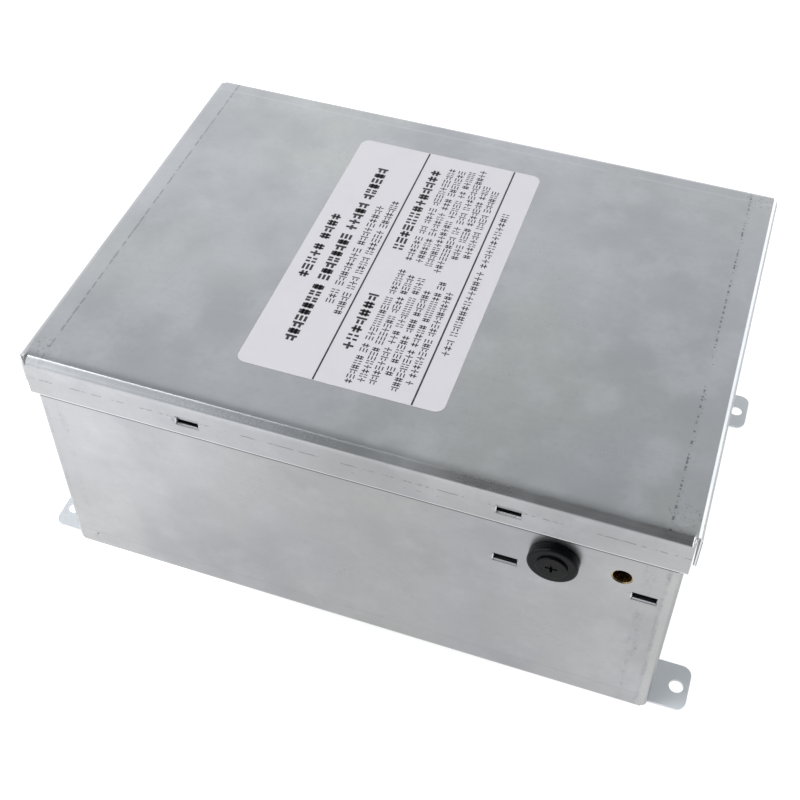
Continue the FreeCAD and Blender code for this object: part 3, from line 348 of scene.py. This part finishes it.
def case_marks(g, place):
    """Soiled corner bends, cut edges, pale ears, and painted light: a highlight down the right
    corner, shade on the wall below the cover's lip, and the shadowed line under it.
    """
    x, y, z = g.axes(place)
    wall = g.remap(y, FRONT_WALL + 0.5 * MM, FRONT_WALL + 0.1 * MM)
    bend = g.remap(y, FRONT_WALL + 2.4 * MM, FRONT_WALL + 1.2 * MM)
    soil = g.noise(g.stretched(place, 260.0, 260.0, 90.0), 1.0, 4.0, 0.65, 2.0)
    grit = g.noise(place, 800.0, 3.0, 0.7, 5.0)
    # painted highlight: a lighter, warmer band down the right corner of the front wall
    outer = g.remap(x, CASE_HALF - 5.2 * MM, CASE_HALF - 4.2 * MM)
    yield product(g, outer, wall, 0.35), ZINC_WARM_HIGHLIGHT
    for at, half, soft, strength in SOIL_LINES:
        line = product(g, g.near(x, at, half, soft), bend, g.remap(soil, 0.42, 0.66))
        yield g.math("MULTIPLY", line, strength), ZINC_DARK
        yield product(g, line, g.remap(grit, 0.54, 0.64), strength * 0.9), STAIN
    sideways = g.math("ABSOLUTE", x)
    corner = g.remap(sideways, CASE_HALF - 1.3 * MM, CASE_HALF - 0.3 * MM)
    yield product(g, corner, bend, 0.38), STAIN
    foot = g.remap(z, 2.2 * MM, 0.6 * MM)
    yield product(g, foot, bend, 0.35), STAIN
    low_line = g.near(z, LOW_LINE_Z, 0.2 * MM, 0.6 * MM)
    gaps = g.remap(line_noise(g, x, 40.0, 3.0, 7.0), 0.38, 0.45)
    yield product(g, low_line, wall, gaps, 0.35), ZINC_DARK
    yield product(g, g.near(z, LIP_SHADOW_Z, 0.30 * MM, 0.55 * MM), 0.86), SHADOW
    # painted shade: the front wall darker for a way below the cover's lip
    for reach in (14.0 * MM, 5.0 * MM):
        shade_under_lip = g.remap(z, LIP_BOTTOM - reach, LIP_BOTTOM - 2.0 * MM)
        yield product(g, shade_under_lip, wall, 0.10), ZINC_DARK
    rims = slot_rims(g, x, z, SHELF_SLOTS, SHELF_SLOT_Z)
    inside = g.remap(y, FRONT_WALL + 0.05 * MM, FRONT_WALL + 0.15 * MM)
    shallow = g.remap(y, FRONT_WALL + 4.0 * MM, FRONT_WALL + 2.0 * MM)
    yield product(g, rims, inside, shallow), PALE
    yield product(g, rims, wall, 0.35), STAIN
    ears = product(g, g.remap(sideways, CASE_HALF, CASE_HALF + 0.6 * MM),
                   g.remap(z, EAR_TOP + 0.8 * MM, EAR_TOP + 0.4 * MM))
    yield ears, PALE_EAR


cover_steel = zinc_sheet("cover_steel", 0.0, cover_marks, front_fold)
case_steel = zinc_sheet("case_steel", 11.0, case_marks)
plain_steel = zinc_sheet("plain_steel", 23.0)


# ---------------------------------------------------------------- other materials
def worked_metal(name, color, shade, rough, scale=1.0, lines=(1, 1, 1), distance=0.02 * MM):
    """Plated, cast or rolled metal with uneven tone, stretched grain along lines, and tarnish."""
    g, place = look(name)
    tone = g.noise(place, 180.0 * scale, 4.0, 0.6)
    fine = g.noise(g.stretched(place, *lines), 2600.0 * scale, 3.0, 0.6)
    mixed = g.mix(g.remap(tone, 0.35, 0.72, 0.0, 0.85), color, shade)
    mixed = g.mix(g.remap(fine, 0.45, 0.75, 0.0, 0.25), mixed, shade)
    roughness = g.math("ADD", g.remap(tone, 0.3, 0.7, rough, rough + 0.12),
                       g.remap(fine, 0.4, 0.7, 0.0, 0.08))
    return surface(g, mixed, roughness, 1.0, fine, distance, 0.6)


def moulding(name, color, shade, rough, **sockets):
    """Moulded plastic with a fine spark texture, faint flow marks and worn tone."""
    g, place = look(name)
    flow = g.noise(place, 60.0, 3.0, 0.5)
    skin = g.noise(place, 3200.0, 2.0, 0.6)
    mixed = g.mix(g.remap(flow, 0.35, 0.7, 0.0, 0.7), color, shade)
    roughness = g.math("ADD", g.remap(flow, 0.3, 0.7, rough - 0.04, rough + 0.08),
                       g.remap(skin, 0.4, 0.7, 0, 0.06))
    return surface(g, mixed, roughness, 0.0, skin, 0.03 * MM, 0.4, **sockets)


def banded(name, color, shade, axis, pitch, rough, metallic=0.0):
    """Fine bands across one axis: stacked laminations, or the turns of a winding under its tape."""
    g, place = look(name)
    value = g.axes(place)[axis]
    wave = g.math("SINE", g.math("MULTIPLY", value, 2 * math.pi / pitch))
    uneven = g.noise(place, 220.0, 3.0, 0.6)
    mixed = g.mix(g.remap(wave, -0.2, 0.9, 0.0, 0.75), color, shade)
    mixed = g.mix(g.remap(uneven, 0.4, 0.7, 0.0, 0.4), mixed, shade)
    roughness = g.remap(uneven, 0.3, 0.7, rough - 0.05, rough + 0.1)
    return surface(g, mixed, roughness, metallic, wave, 0.1 * MM, 0.6)


def circuit_board(name):
    """Solder-masked laminate: paths under the mask, a weave in the core, and a lighter cut edge."""
    g, place = look(name)
    x, y, z = g.axes(place)
    brick = {"Vector": place, "Scale": 150.0, "Mortar Size": 0.08, "Mortar Smooth": 0.2,
             "Brick Width": 0.9, "Row Height": 0.32}
    cells = g.add("TexBrick", brick, offset=0.35).outputs["Fac"]
    some = g.remap(g.noise(place, 120.0, 1.0, 0.4), 0.46, 0.50)
    paths = g.math("MULTIPLY", cells, some)
    weave = g.math("MULTIPLY", g.math("SINE", g.math("MULTIPLY", x, 9000.0)),
                   g.math("SINE", g.math("MULTIPLY", y, 9000.0)))
    color = g.mix(g.math("MULTIPLY", paths, 0.6), (0.012, 0.085, 0.035), (0.03, 0.17, 0.07))
    color = g.mix(g.remap(weave, 0.2, 1.0, 0.0, 0.2), color, (0.02, 0.12, 0.05))
    edge = g.math("MULTIPLY", g.remap(z, board_high.z - 0.2 * MM, board_high.z - 0.4 * MM),
                  g.remap(z, board_low.z + 0.2 * MM, board_low.z + 0.4 * MM))
    color = g.mix(edge, color, (0.34, 0.33, 0.14))
    return surface(g, color, g.remap(weave, -1, 1, 0.28, 0.36), 0.0, paths, 0.06 * MM, 0.6,
                   Coat_Weight=0.3)


def glossy_black(name):
    """Moulded cap: near black, polished, with faint handling haze and hairlines."""
    g, place = look(name)
    haze = g.noise(place, 260.0, 4.0, 0.6)
    hair = g.noise(g.stretched(place, 300.0, 300.0, 4200.0), 1.0, 2.0, 0.5)
    color = g.mix(g.remap(haze, 0.4, 0.7, 0.0, 0.6),
                  (0.0030, 0.0031, 0.0038), (0.0055, 0.0058, 0.0068))
    rough = g.math("ADD", g.remap(haze, 0.35, 0.7, 0.16, 0.26),
                   g.remap(hair, 0.5, 0.75, 0.0, 0.06))
    return surface(g, color, rough, 0.0, g.math("ADD", haze, hair), 0.02 * MM, 0.25,
                   Specular_IOR_Level=0.09)


def label_film(name):
    """Off-white satin vinyl, with a slight orange peel and patches of dust."""
    g, place = look(name)
    peel = g.noise(place, 900.0, 3.0, 0.5)
    dust = g.noise(place, 70.0, 4.0, 0.6)
    color = g.mix(g.remap(dust, 0.45, 0.75, 0.0, 0.5),
                  (0.535, 0.514, 0.540), (0.506, 0.486, 0.512))
    return surface(g, color, g.remap(peel, 0.3, 0.7, 0.34, 0.44), 0.0, peel, 0.02 * MM, 0.3,
                   Coat_Weight=0.15)


def glass_tube(name):
    """Clear glass with faint drawn streaks."""
    g, place = look(name)
    streak = g.noise(g.stretched(place, 300.0, 20.0, 300.0), 1.0, 2.0, 0.5)
    color = g.mix(g.remap(streak, 0.4, 0.7), (0.93, 0.96, 0.96), (0.85, 0.90, 0.90))
    return surface(g, color, g.remap(streak, 0.3, 0.7, 0.02, 0.08), 0.0, streak, 0.01 * MM, 0.2,
                   Transmission_Weight=0.9, IOR=1.47)


def wire_sleeve(name, color):
    """PVC insulation with grime, and a faint twist of the strands beneath."""
    g, place = look(name)
    x, y, z = g.axes(place)
    grime = g.noise(place, 500.0, 3.0, 0.6)
    color = g.mix(g.remap(grime, 0.5, 0.8, 0.0, 0.35), color, (0.05, 0.04, 0.04))
    lay = g.math("SINE", g.math("MULTIPLY", g.math("ADD", x, g.math("ADD", y, z)), 2600.0))
    return surface(g, color, g.remap(grime, 0.3, 0.7, 0.30, 0.42), 0.0, lay, 0.02 * MM, 0.3)


LOOKS = {
    "galvanised_steel": plain_steel,
    "label_vinyl": label_film("label_film"),
    "black_plastic": glossy_black("glossy_black"),
    "yellow_brass": worked_metal(
        "yellow_brass", (0.60, 0.44, 0.22), (0.36, 0.25, 0.12), 0.20, lines=(1, 0.05, 1)),
    "tinned_brass": worked_metal(
        "tinned_brass", (0.74, 0.71, 0.64), (0.60, 0.56, 0.48), 0.26),
    "fuse_glass": glass_tube("fuse_glass_look"),
    "diecast_zinc": worked_metal(
        "diecast_zinc", (0.46, 0.47, 0.48), (0.33, 0.34, 0.35), 0.45, 0.6, distance=0.08 * MM),
    "plated_screws": worked_metal(
        "plated_screws", (0.72, 0.71, 0.66), (0.56, 0.56, 0.52), 0.24),
    "spring_steel": worked_metal(
        "spring_steel", (0.50, 0.50, 0.51), (0.36, 0.36, 0.38), 0.24),
    "dark_moulding": moulding(
        "dark_moulding", (0.022, 0.022, 0.024), (0.035, 0.035, 0.037), 0.42),
    "carrier_moulding": moulding(
        "carrier_moulding", (0.36, 0.035, 0.025), (0.27, 0.028, 0.02), 0.40),
    "iron_laminations": banded(
        "iron_laminations", (0.30, 0.30, 0.31), (0.11, 0.11, 0.115), 1, 0.7 * MM, 0.38, 1.0),
    "bobbin_nylon": moulding(
        "bobbin_nylon", (0.74, 0.70, 0.58), (0.64, 0.60, 0.48), 0.36, Subsurface_Weight=0.1),
    "coil_tape": banded(
        "coil_tape", (0.66, 0.44, 0.06), (0.48, 0.30, 0.04), 2, 1.1 * MM, 0.32),
    "copper": worked_metal(
        "copper", (0.80, 0.42, 0.27), (0.55, 0.26, 0.16), 0.24, 0.8, (0.05, 1, 1)),
    "terminal_alloy": worked_metal(
        "terminal_alloy", (0.72, 0.73, 0.74), (0.58, 0.59, 0.60), 0.30, lines=(0.04, 1, 1)),
    "green_screws": worked_metal(
        "green_screws", (0.08, 0.36, 0.13), (0.05, 0.24, 0.09), 0.28),
    "board_laminate": circuit_board("board_laminate"),
    "relay_case": moulding(
        "relay_case", (0.015, 0.07, 0.28), (0.012, 0.055, 0.22), 0.24, Coat_Weight=0.2),
    "capacitor_sleeve": moulding(
        "capacitor_sleeve", (0.012, 0.014, 0.035), (0.02, 0.022, 0.045), 0.22),
    "strip_moulding": moulding(
        "strip_moulding", (0.03, 0.26, 0.12), (0.022, 0.20, 0.09), 0.38),
    "wire_insulation": wire_sleeve("wire_insulation", (0.45, 0.02, 0.015)),
}
OWN_LOOK = {"cover": cover_steel, "case_tray": case_steel}

slot_of = {row["node"]: row["material_slot"] for row in frame["record"]["subparts"]}
for name, node in nodes.items():
    node.data.materials.clear()
    node.data.materials.append(OWN_LOOK.get(name, LOOKS[slot_of[name]]))


# ---------------------------------------------------------------- new pieces
def piece(name, mesh, body, material):
    """A new visible piece that rides on a body."""
    made = bpy.data.objects.new(name, mesh)
    bpy.context.scene.collection.objects.link(made)
    made.data.materials.append(material)
    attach(made, body)
    return made


def mesh_of(bm, name):
    """The finished mesh; bm is freed."""
    mesh = bpy.data.meshes.new(name)
    bm.to_mesh(mesh)
    bm.free()
    return mesh


def add_box(bm, low, high):
    """A closed box between two corners."""
    size = [b - a for a, b in zip(low, high)]
    middle = [(a + b) / 2 for a, b in zip(low, high)]
    matrix = Matrix.Translation(middle) @ Matrix.Diagonal((*size, 1.0))
    bmesh.ops.create_cube(bm, size=1.0, matrix=matrix)


def rounded_outline(x0, x1, y0, y1, radius, steps=10):
    """Points round a rectangle with rounded corners."""
    corners = ((x1 - radius, y1 - radius, 0), (x0 + radius, y1 - radius, 90),
               (x0 + radius, y0 + radius, 180), (x1 - radius, y0 + radius, 270))
    points = []
    for cx, cy, start in corners:
        for i in range(steps + 1):
            angle = math.radians(start + 90 * i / steps)
            points.append((cx + radius * math.cos(angle), cy + radius * math.sin(angle)))
    return points


# ---------------------------------------------------------------- label
label_low, label_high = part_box("rating_label")
FILM = 0.11 * MM                    # thickness of the film
INK = 0.03 * MM                     # thickness of the print
INK_SUNK = 0.01 * MM                # how deep the print starts in the film
LABEL_RADIUS = 4.0 * MM
film_top = label_low.z + FILM


def make_label():
    bm = bmesh.new()
    outline = rounded_outline(label_low.x, label_high.x, label_low.y, label_high.y, LABEL_RADIUS)
    face = bm.faces.new([bm.verts.new((x, y, label_low.z)) for x, y in outline])
    grown = bmesh.ops.extrude_face_region(bm, geom=[face])
    lifted = [v for v in grown["geom"] if isinstance(v, bmesh.types.BMVert)]
    bmesh.ops.translate(bm, verts=lifted, vec=(0, 0, FILM))
    bmesh.ops.recalc_face_normals(bm, faces=bm.faces)
    label = piece("label_film", mesh_of(bm, "label_film"), "cover",
                  LOOKS["label_vinyl"])
    edge = label.modifiers.new("edge", "BEVEL")
    edge.width = 0.03 * MM
    edge.segments = 2
    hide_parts("rating_label")


# Rows of marks that stand for print. In mm: the middle of the row from the label's -X edge, the
# marks' height, the middle along Y, the length. Then the number of marks in each word, and bold.
TITLE_ROWS = (
    (7.6, 4.6, 76.0, 43.6, (5, 4), True),
    (16.65, 5.0, 76.0, 117.5, (9, 8, 5, 6), True),
    (24.3, 3.5, 76.0, 66.2, (3, 8, 9), False),
    (29.85, 3.5, 76.0, 76.6, (5, 3, 4, 6, 7), False),
    (40.7, 4.6, 37.7, 34.6, (7,), True),
    (40.7, 4.6, 112.5, 58.0, (13,), True),
    (79.7, 3.2, 76.0, 92.7, (3, 13, 12), False),
)
# Two columns of small rows: their places, and the length and words of each row.
SMALL_ROWS_AT = (47.5, 52.2, 56.9, 61.6, 66.3, 71.0)
SMALL_ROW_HEIGHT = 3.2
LEFT_ROWS = ((69.6, (6, 2, 10, 6)), (65.2, (8, 7, 4, 5)), (64.6, (8, 3, 7, 4)),
             (51.6, (2, 6, 3, 6)), (65.8, (9, 5, 7, 2)), (55.7, (1, 9, 11)))
RIGHT_ROWS = ((66.2, (6, 2, 4, 10)), (66.0, (6, 6, 3, 7)), (67.8, (12, 5, 2, 5)),
              (73.2, (9, 2, 3, 11)), (52.3, (4, 4, 7, 4)), (47.8, (7, 4, 6)))
SMALL_ROW_MIDDLES = (37.9, 111.7)
SEPARATORS_AT = (33.7, 75.4)
SEPARATOR_HALF = 0.36 * MM
SEPARATOR_MARGIN = 0.3 * MM
WORD_GAP = 0.65                     # of a mark's pitch
MARK_WIDTH = 0.80                   # of a mark's pitch
BOLD_STROKE, THIN_STROKE = 0.235, 0.150     # of the row's height
# Marks with no meaning, none of them a letter: upright or level strokes, each at a fraction of
# the mark's width or height, and from one fraction to another of the other direction.
MARKS = (
    (("upright", 0.18, 0.0, 1.0), ("upright", 0.82, 0.0, 1.0),
     ("level", 0.28, 0.0, 1.0), ("level", 0.72, 0.0, 1.0)),
    (("level", 0.0, 0.0, 1.0), ("level", 0.5, 0.0, 1.0), ("level", 1.0, 0.0, 1.0)),
    (("upright", 0.5, 0.0, 1.0), ("level", 0.26, 0.0, 1.0), ("level", 0.74, 0.0, 1.0)),
    (("upright", 0.1, 0.0, 0.42), ("upright", 0.9, 0.0, 0.42),
     ("upright", 0.1, 0.58, 1.0), ("upright", 0.9, 0.58, 1.0)),
    (("level", 0.22, 0.0, 0.62), ("level", 0.78, 0.0, 0.62), ("upright", 1.0, 0.0, 1.0)),
    (("upright", 0.5, 0.0, 0.38), ("upright", 0.5, 0.62, 1.0), ("level", 0.5, 0.0, 1.0)),
)


def draw_mark(bm, strokes, across, height, y, wide, stroke):
    """One mark of a row whose middle is at across, starting at y; all in mm on the label."""
    for kind, place, start, end in strokes:
        if kind == "upright":
            y0 = y + place * (wide - stroke)
            span = (y0, y0 + stroke)
            rise = (start * height, end * height)
        else:
            span = (y + start * wide, y + end * wide)
            low = place * (height - stroke)
            rise = (low, low + stroke)
        foot = across + height / 2
        x0, x1 = (label_low.x + (foot - up) * MM for up in (rise[1], rise[0]))
        y0, y1 = (label_low.y + at * MM for at in span)
        add_box(bm, (x0, y0, film_top - INK_SUNK), (x1, y1, film_top + INK))


def marks_row(bm, rng, across, height, middle, length, words, bold):
    """One row of words, each made of meaningless marks."""
    cell = length / (sum(words) + WORD_GAP * (len(words) - 1))
    wide = cell * MARK_WIDTH
    stroke = height * (BOLD_STROKE if bold else THIN_STROKE)
    y = middle - length / 2
    for word in words:
        for _ in range(word):
            draw_mark(bm, rng.choice(MARKS), across, height, y, wide, stroke)
            y += cell
        y += WORD_GAP * cell


def make_print():
    rng = random.Random(7)
    bm = bmesh.new()
    for row in TITLE_ROWS:
        marks_row(bm, rng, *row)
    for rows, middle in zip((LEFT_ROWS, RIGHT_ROWS), SMALL_ROW_MIDDLES):
        for across, (length, words) in zip(SMALL_ROWS_AT, rows):
            marks_row(bm, rng, across, SMALL_ROW_HEIGHT, middle, length, words, False)
    for across in SEPARATORS_AT:
        x = label_low.x + across * MM
        add_box(bm, (x - SEPARATOR_HALF, label_low.y + SEPARATOR_MARGIN, film_top - INK_SUNK),
                (x + SEPARATOR_HALF, label_high.y - SEPARATOR_MARGIN, film_top + INK))
    g, place = look("label_ink")
    worn = g.noise(place, 700.0, 3.0, 0.6)
    color = g.mix(g.remap(worn, 0.5, 0.8, 0.0, 0.4),
                  (0.010, 0.010, 0.012), (0.035, 0.035, 0.038))
    ink = surface(g, color, g.remap(worn, 0.3, 0.7, 0.35, 0.5), 0.0, worn, 0.01 * MM, 0.3)
    piece("label_print", mesh_of(bm, "label_print"), "cover", ink)


make_label()
make_print()


# ---------------------------------------------------------------- control board
relays_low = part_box("board_relays")[0]
core_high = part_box("transformer_core")[1]
RESISTOR_X = (core_high.x + relays_low.x) / 2
RESISTOR_COUNT = 8
RESISTOR_PITCH = 3.4 * MM
FIRST_RESISTOR_Y = relays_low.y + 5.0 * MM
RESISTOR_HEIGHT = 1.7 * MM          # of its axis over the board
RESISTOR_HALF = 2.3 * MM
LEAD_REACH = 3.4 * MM               # from the resistor's middle to each leg
LEAD_RADIUS = 0.28 * MM
# Turned outlines in mm: the distance along the axis, and the radius there.
RESISTOR_OUTLINE = ((0, 0.5), (0.1, 0.85), (0.35, 1.08), (0.95, 1.08), (1.3, 0.86),
                    (3.3, 0.86), (3.65, 1.08), (4.25, 1.08), (4.5, 0.85), (4.6, 0.5))
SOLDER_OUTLINE = ((-0.02, 0.85), (0.2, 0.75), (0.5, 0.45), (0.75, 0.28))
CHIP_Y = relays_low.y - 1.2 * MM
CHIP_HALF_X, CHIP_HALF_Y = 3.2 * MM, 4.6 * MM
CHIP_FLOOR, CHIP_TOP = 0.5 * MM, 3.6 * MM   # over the board
LEG_PITCH = 2.54 * MM
LEG_OUT = 0.35 * MM                 # how far the legs stand out from the chip's sides
LEG_KNEE, LEG_SHOULDER = 1.0 * MM, 2.1 * MM     # over the board
LEG_WIDE_HALF, LEG_THIN_HALF = 0.7 * MM, 0.25 * MM


def add_lathe(bm, start, axis, profile, sides=20):
    """A closed turned shape; profile gives distances along axis from start, and radii."""
    turn = Vector((0, 0, 1)).rotation_difference(Vector(axis)).to_matrix().to_4x4()
    matrix = Matrix.Translation(start) @ turn
    rings = []
    for distance, radius in profile:
        ring = []
        for i in range(sides):
            angle = 2 * math.pi * i / sides
            local = Vector((radius * math.cos(angle), radius * math.sin(angle), distance))
            ring.append(bm.verts.new(matrix @ local))
        rings.append(ring)
    for a, b in zip(rings, rings[1:]):
        for i in range(sides):
            j = (i + 1) % sides
            bm.faces.new((a[i], a[j], b[j], b[i]))
    bm.faces.new(reversed(rings[0]))
    bm.faces.new(rings[-1])


def smooth(mesh):
    """The mesh, shaded smooth."""
    for face in mesh.polygons:
        face.use_smooth = True
    return mesh


def resistor_look():
    """Lacquered body with bands of colour around it."""
    g, place = look("resistor_lacquer")
    x = g.axes(place)[0]
    grain = g.noise(place, 2200.0, 3.0, 0.6)
    color = g.mix(g.remap(grain, 0.4, 0.7), (0.50, 0.36, 0.20), (0.42, 0.29, 0.15))
    for shift, shade in ((-1.6, (0.20, 0.06, 0.02)), (-0.7, (0.02, 0.02, 0.02)),
                         (0.2, (0.50, 0.04, 0.02)), (1.5, (0.50, 0.33, 0.08))):
        color = g.mix(g.near(x, RESISTOR_X + shift * MM, 0.18 * MM, 0.08 * MM), color, shade)
    return surface(g, color, g.remap(grain, 0.3, 0.7, 0.28, 0.38), 0.0, grain, 0.02 * MM, 0.3)


def make_resistors():
    """A column of resistors, each on two legs with a fillet of solder round the foot."""
    bodies = bmesh.new()
    leads = bmesh.new()
    body = [(distance * MM, radius * MM) for distance, radius in RESISTOR_OUTLINE]
    solder = [(distance * MM, radius * MM) for distance, radius in SOLDER_OUTLINE]
    straight = ((0, LEAD_RADIUS), (2 * LEAD_REACH, LEAD_RADIUS))
    leg = ((0, LEAD_RADIUS), (RESISTOR_HEIGHT, LEAD_RADIUS),
           (RESISTOR_HEIGHT + LEAD_RADIUS, 0.5 * LEAD_RADIUS))
    for i in range(RESISTOR_COUNT):
        y = FIRST_RESISTOR_Y + i * RESISTOR_PITCH
        z = board_high.z + RESISTOR_HEIGHT
        add_lathe(bodies, (RESISTOR_X - RESISTOR_HALF, y, z), (1, 0, 0), body)
        add_lathe(leads, (RESISTOR_X - LEAD_REACH, y, z), (1, 0, 0), straight, 10)
        for side in (-1, 1):
            foot = (RESISTOR_X + side * LEAD_REACH, y, board_high.z)
            add_lathe(leads, foot, (0, 0, 1), leg, 10)
            add_lathe(leads, foot, (0, 0, 1), solder, 16)
    piece("board_resistors", smooth(mesh_of(bodies, "board_resistors")), "enclosure",
          resistor_look())
    piece("board_leads", smooth(mesh_of(leads, "board_leads")), "enclosure",
          LOOKS["plated_screws"])


def make_chip():
    """An eight-legged chip in line with the column of resistors."""
    low = Vector((RESISTOR_X - CHIP_HALF_X, CHIP_Y - CHIP_HALF_Y, board_high.z + CHIP_FLOOR))
    high = Vector((RESISTOR_X + CHIP_HALF_X, CHIP_Y + CHIP_HALF_Y, board_high.z + CHIP_TOP))
    bm = bmesh.new()
    add_box(bm, low, high)
    body = piece("board_chip", mesh_of(bm, "board_chip"), "enclosure",
                 LOOKS["dark_moulding"])
    edge = body.modifiers.new("edge", "BEVEL")
    edge.width = 0.35 * MM
    edge.segments = 2
    legs = bmesh.new()
    for i in range(4):
        y = CHIP_Y + (i - 1.5) * LEG_PITCH
        for x0, x1 in ((low.x - LEG_OUT, low.x), (high.x, high.x + LEG_OUT)):
            for half, bottom, top in ((LEG_WIDE_HALF, LEG_KNEE, LEG_SHOULDER),
                                      (LEG_THIN_HALF, 0.0, LEG_KNEE)):
                add_box(legs, (x0, y - half, board_high.z + bottom),
                        (x1, y + half, board_high.z + top))
    piece("board_chip_legs", mesh_of(legs, "board_chip_legs"), "enclosure",
          LOOKS["plated_screws"])


make_resistors()
make_chip()


# ---------------------------------------------------------------- studio
# The paper on the floor glows, and more so in front of the object and at its sides.
FLOOR_GLOW = 0.80
FRONT_GLOW = 0.12
LEFT_GLOW = 0.62
RIGHT_GLOW = 0.12
# Where on the floor each of these starts to grow, and where it is full: Y, X, X.
FRONT_GROWS = (-0.13, -0.23)
LEFT_GROWS = (-0.01, -0.20)
RIGHT_GROWS = (0.05, 0.14)
FLOOR_SIZE = 3.0                    # half its side
FLOOR_DROP = 0.2 * MM


def make_floor():
    bm = bmesh.new()
    bmesh.ops.create_grid(bm, x_segments=1, y_segments=1, size=FLOOR_SIZE)
    floor = bpy.data.objects.new("floor", mesh_of(bm, "floor"))
    floor.location.z = -FLOOR_DROP
    bpy.context.scene.collection.objects.link(floor)
    g, place = look("floor")
    paper = g.noise(place, 40.0, 2.0, 0.5)
    color = g.mix(paper, (0.24, 0.24, 0.24), (0.26, 0.26, 0.26))
    diffuse = g.add("BsdfDiffuse", {"Color": color})
    x, y, _ = g.axes(place)
    level = g.remap(x, *LEFT_GROWS, FLOOR_GLOW, FLOOR_GLOW + LEFT_GLOW)
    level = g.math("ADD", level, g.remap(x, *RIGHT_GROWS, 0.0, RIGHT_GLOW))
    level = g.math("ADD", level, g.remap(y, *FRONT_GROWS, 0.0, FRONT_GLOW))
    glow = g.add("Emission", {"Color": (1.0, 1.0, 1.0), "Strength": level})
    both = g.add("AddShader", {0: diffuse.outputs[0], 1: glow.outputs[0]})
    g.put(g.add("OutputMaterial").inputs["Surface"], both.outputs[0])
    floor.data.materials.append(g.material)


# Levels of the studio's walls, low down and high up: the rear is bright and the front is dark.
# A place in the studio is a direction of length 1, and a pair says where a change starts and
# where it ends.
REAR_LEVELS, REAR_Z = (1.43, 0.61), (0.46, 0.90)
FRONT_LEVELS, FRONT_Z = (0.75, 0.20), (0.05, 0.40)
FRONT_TO_REAR_Y = (-0.15, 0.30)
WINDOW_LEVEL = 1.9                  # a bright wall on the left, in front of the object
WINDOW_X, WINDOW_Y = (-0.31, -0.43), (0.06, -0.18)
STRIP_LEVEL = 4.5                   # an upright strip of light on that wall
STRIP_X = (-0.31, -0.42)
STRIP_Y, STRIP_HALF, STRIP_SOFT = -0.28, 0.08, 0.12
WORLD_RED, WORLD_GREEN = 0.955, 0.985       # of the blue: the light is slightly cool
# Soft boxes: direction, inner and outer angle in degrees, level.
SOFT_BOXES = (
    ((0.78, 0.58, 0.12), 18, 38, 3.2),
    ((-0.38, 0.76, 0.53), 4, 20, 1.62),
)


def make_world():
    world = bpy.data.worlds.new("studio")
    bpy.context.scene.world = world
    world.use_nodes = True
    g = Graph(world.node_tree)
    way = g.add("TexCoord").outputs["Generated"]
    x, y, z = g.axes(way)
    rear = g.remap(z, *REAR_Z, *REAR_LEVELS)
    front = g.remap(z, *FRONT_Z, *FRONT_LEVELS, smooth=False)
    to_rear = g.remap(y, *FRONT_TO_REAR_Y)
    level = g.math("MULTIPLY_ADD", g.math("SUBTRACT", rear, front), to_rear, front)
    window = g.math("MULTIPLY", g.remap(x, *WINDOW_X), g.remap(y, *WINDOW_Y))
    level = g.math("MULTIPLY_ADD", window, g.math("SUBTRACT", WINDOW_LEVEL, level), level)
    strip = g.math("MULTIPLY", g.remap(x, *STRIP_X), g.near(y, STRIP_Y, STRIP_HALF, STRIP_SOFT))
    level = g.math("MULTIPLY_ADD", strip, STRIP_LEVEL, level)
    for direction, inner, outer, box_level in SOFT_BOXES:
        aim = Vector(direction).normalized()
        close = g.vector("DOT_PRODUCT", way, tuple(aim))
        mask = g.remap(close, math.cos(math.radians(outer)), math.cos(math.radians(inner)))
        level = g.math("MULTIPLY_ADD", mask, g.math("SUBTRACT", box_level, level), level)
    tint = {"Red": g.math("MULTIPLY", level, WORLD_RED),
            "Green": g.math("MULTIPLY", level, WORLD_GREEN), "Blue": level}
    color = g.add("CombineColor", tint)
    back = g.add("Background", {"Color": color.outputs[0], "Strength": 1.0})
    g.put(g.add("OutputWorld").inputs["Surface"], back.outputs[0])


def make_camera():
    """The view is set by the camera's three axes and its place in the row frame."""
    right = Vector((0.94680, 0.32177, 0.00577))
    up = Vector((-0.23864, 0.68994, 0.68340))
    back = Vector((0.21591, -0.64842, 0.73002))
    place = Vector((0.12263, -0.38540, 0.51502))
    data = bpy.data.cameras.new("camera")
    data.lens = 58.305
    data.sensor_width = 36.0
    data.shift_x = -0.0093
    data.shift_y = -0.0676
    data.clip_start = 0.01
    data.clip_end = 20.0
    camera = bpy.data.objects.new("camera", data)
    camera.matrix_world = Matrix((
        (right.x, up.x, back.x, place.x),
        (right.y, up.y, back.y, place.y),
        (right.z, up.z, back.z, place.z),
        (0.0, 0.0, 0.0, 1.0),
    ))
    bpy.context.scene.collection.objects.link(camera)
    bpy.context.scene.camera = camera


def make_lamp(name, place, aim, size, power):
    """A round soft lamp that lights the object but does not show in its reflections."""
    data = bpy.data.lights.new(name, "AREA")
    data.shape = "DISK"
    data.size = size
    data.energy = power
    lamp = bpy.data.objects.new(name, data)
    lamp.location = place
    lamp.rotation_euler = (Vector(aim) - Vector(place)).to_track_quat("-Z", "Y").to_euler()
    bpy.context.scene.collection.objects.link(lamp)
    lamp.visible_glossy = False


make_floor()
make_world()
make_camera()
make_lamp("key", place=(-0.7, -0.5, 1.3), aim=(0, 0, 0.05), size=0.9, power=5.0)
bpy.context.scene.view_settings.view_transform = "Standard"
bpy.context.scene.view_settings.look = "None"
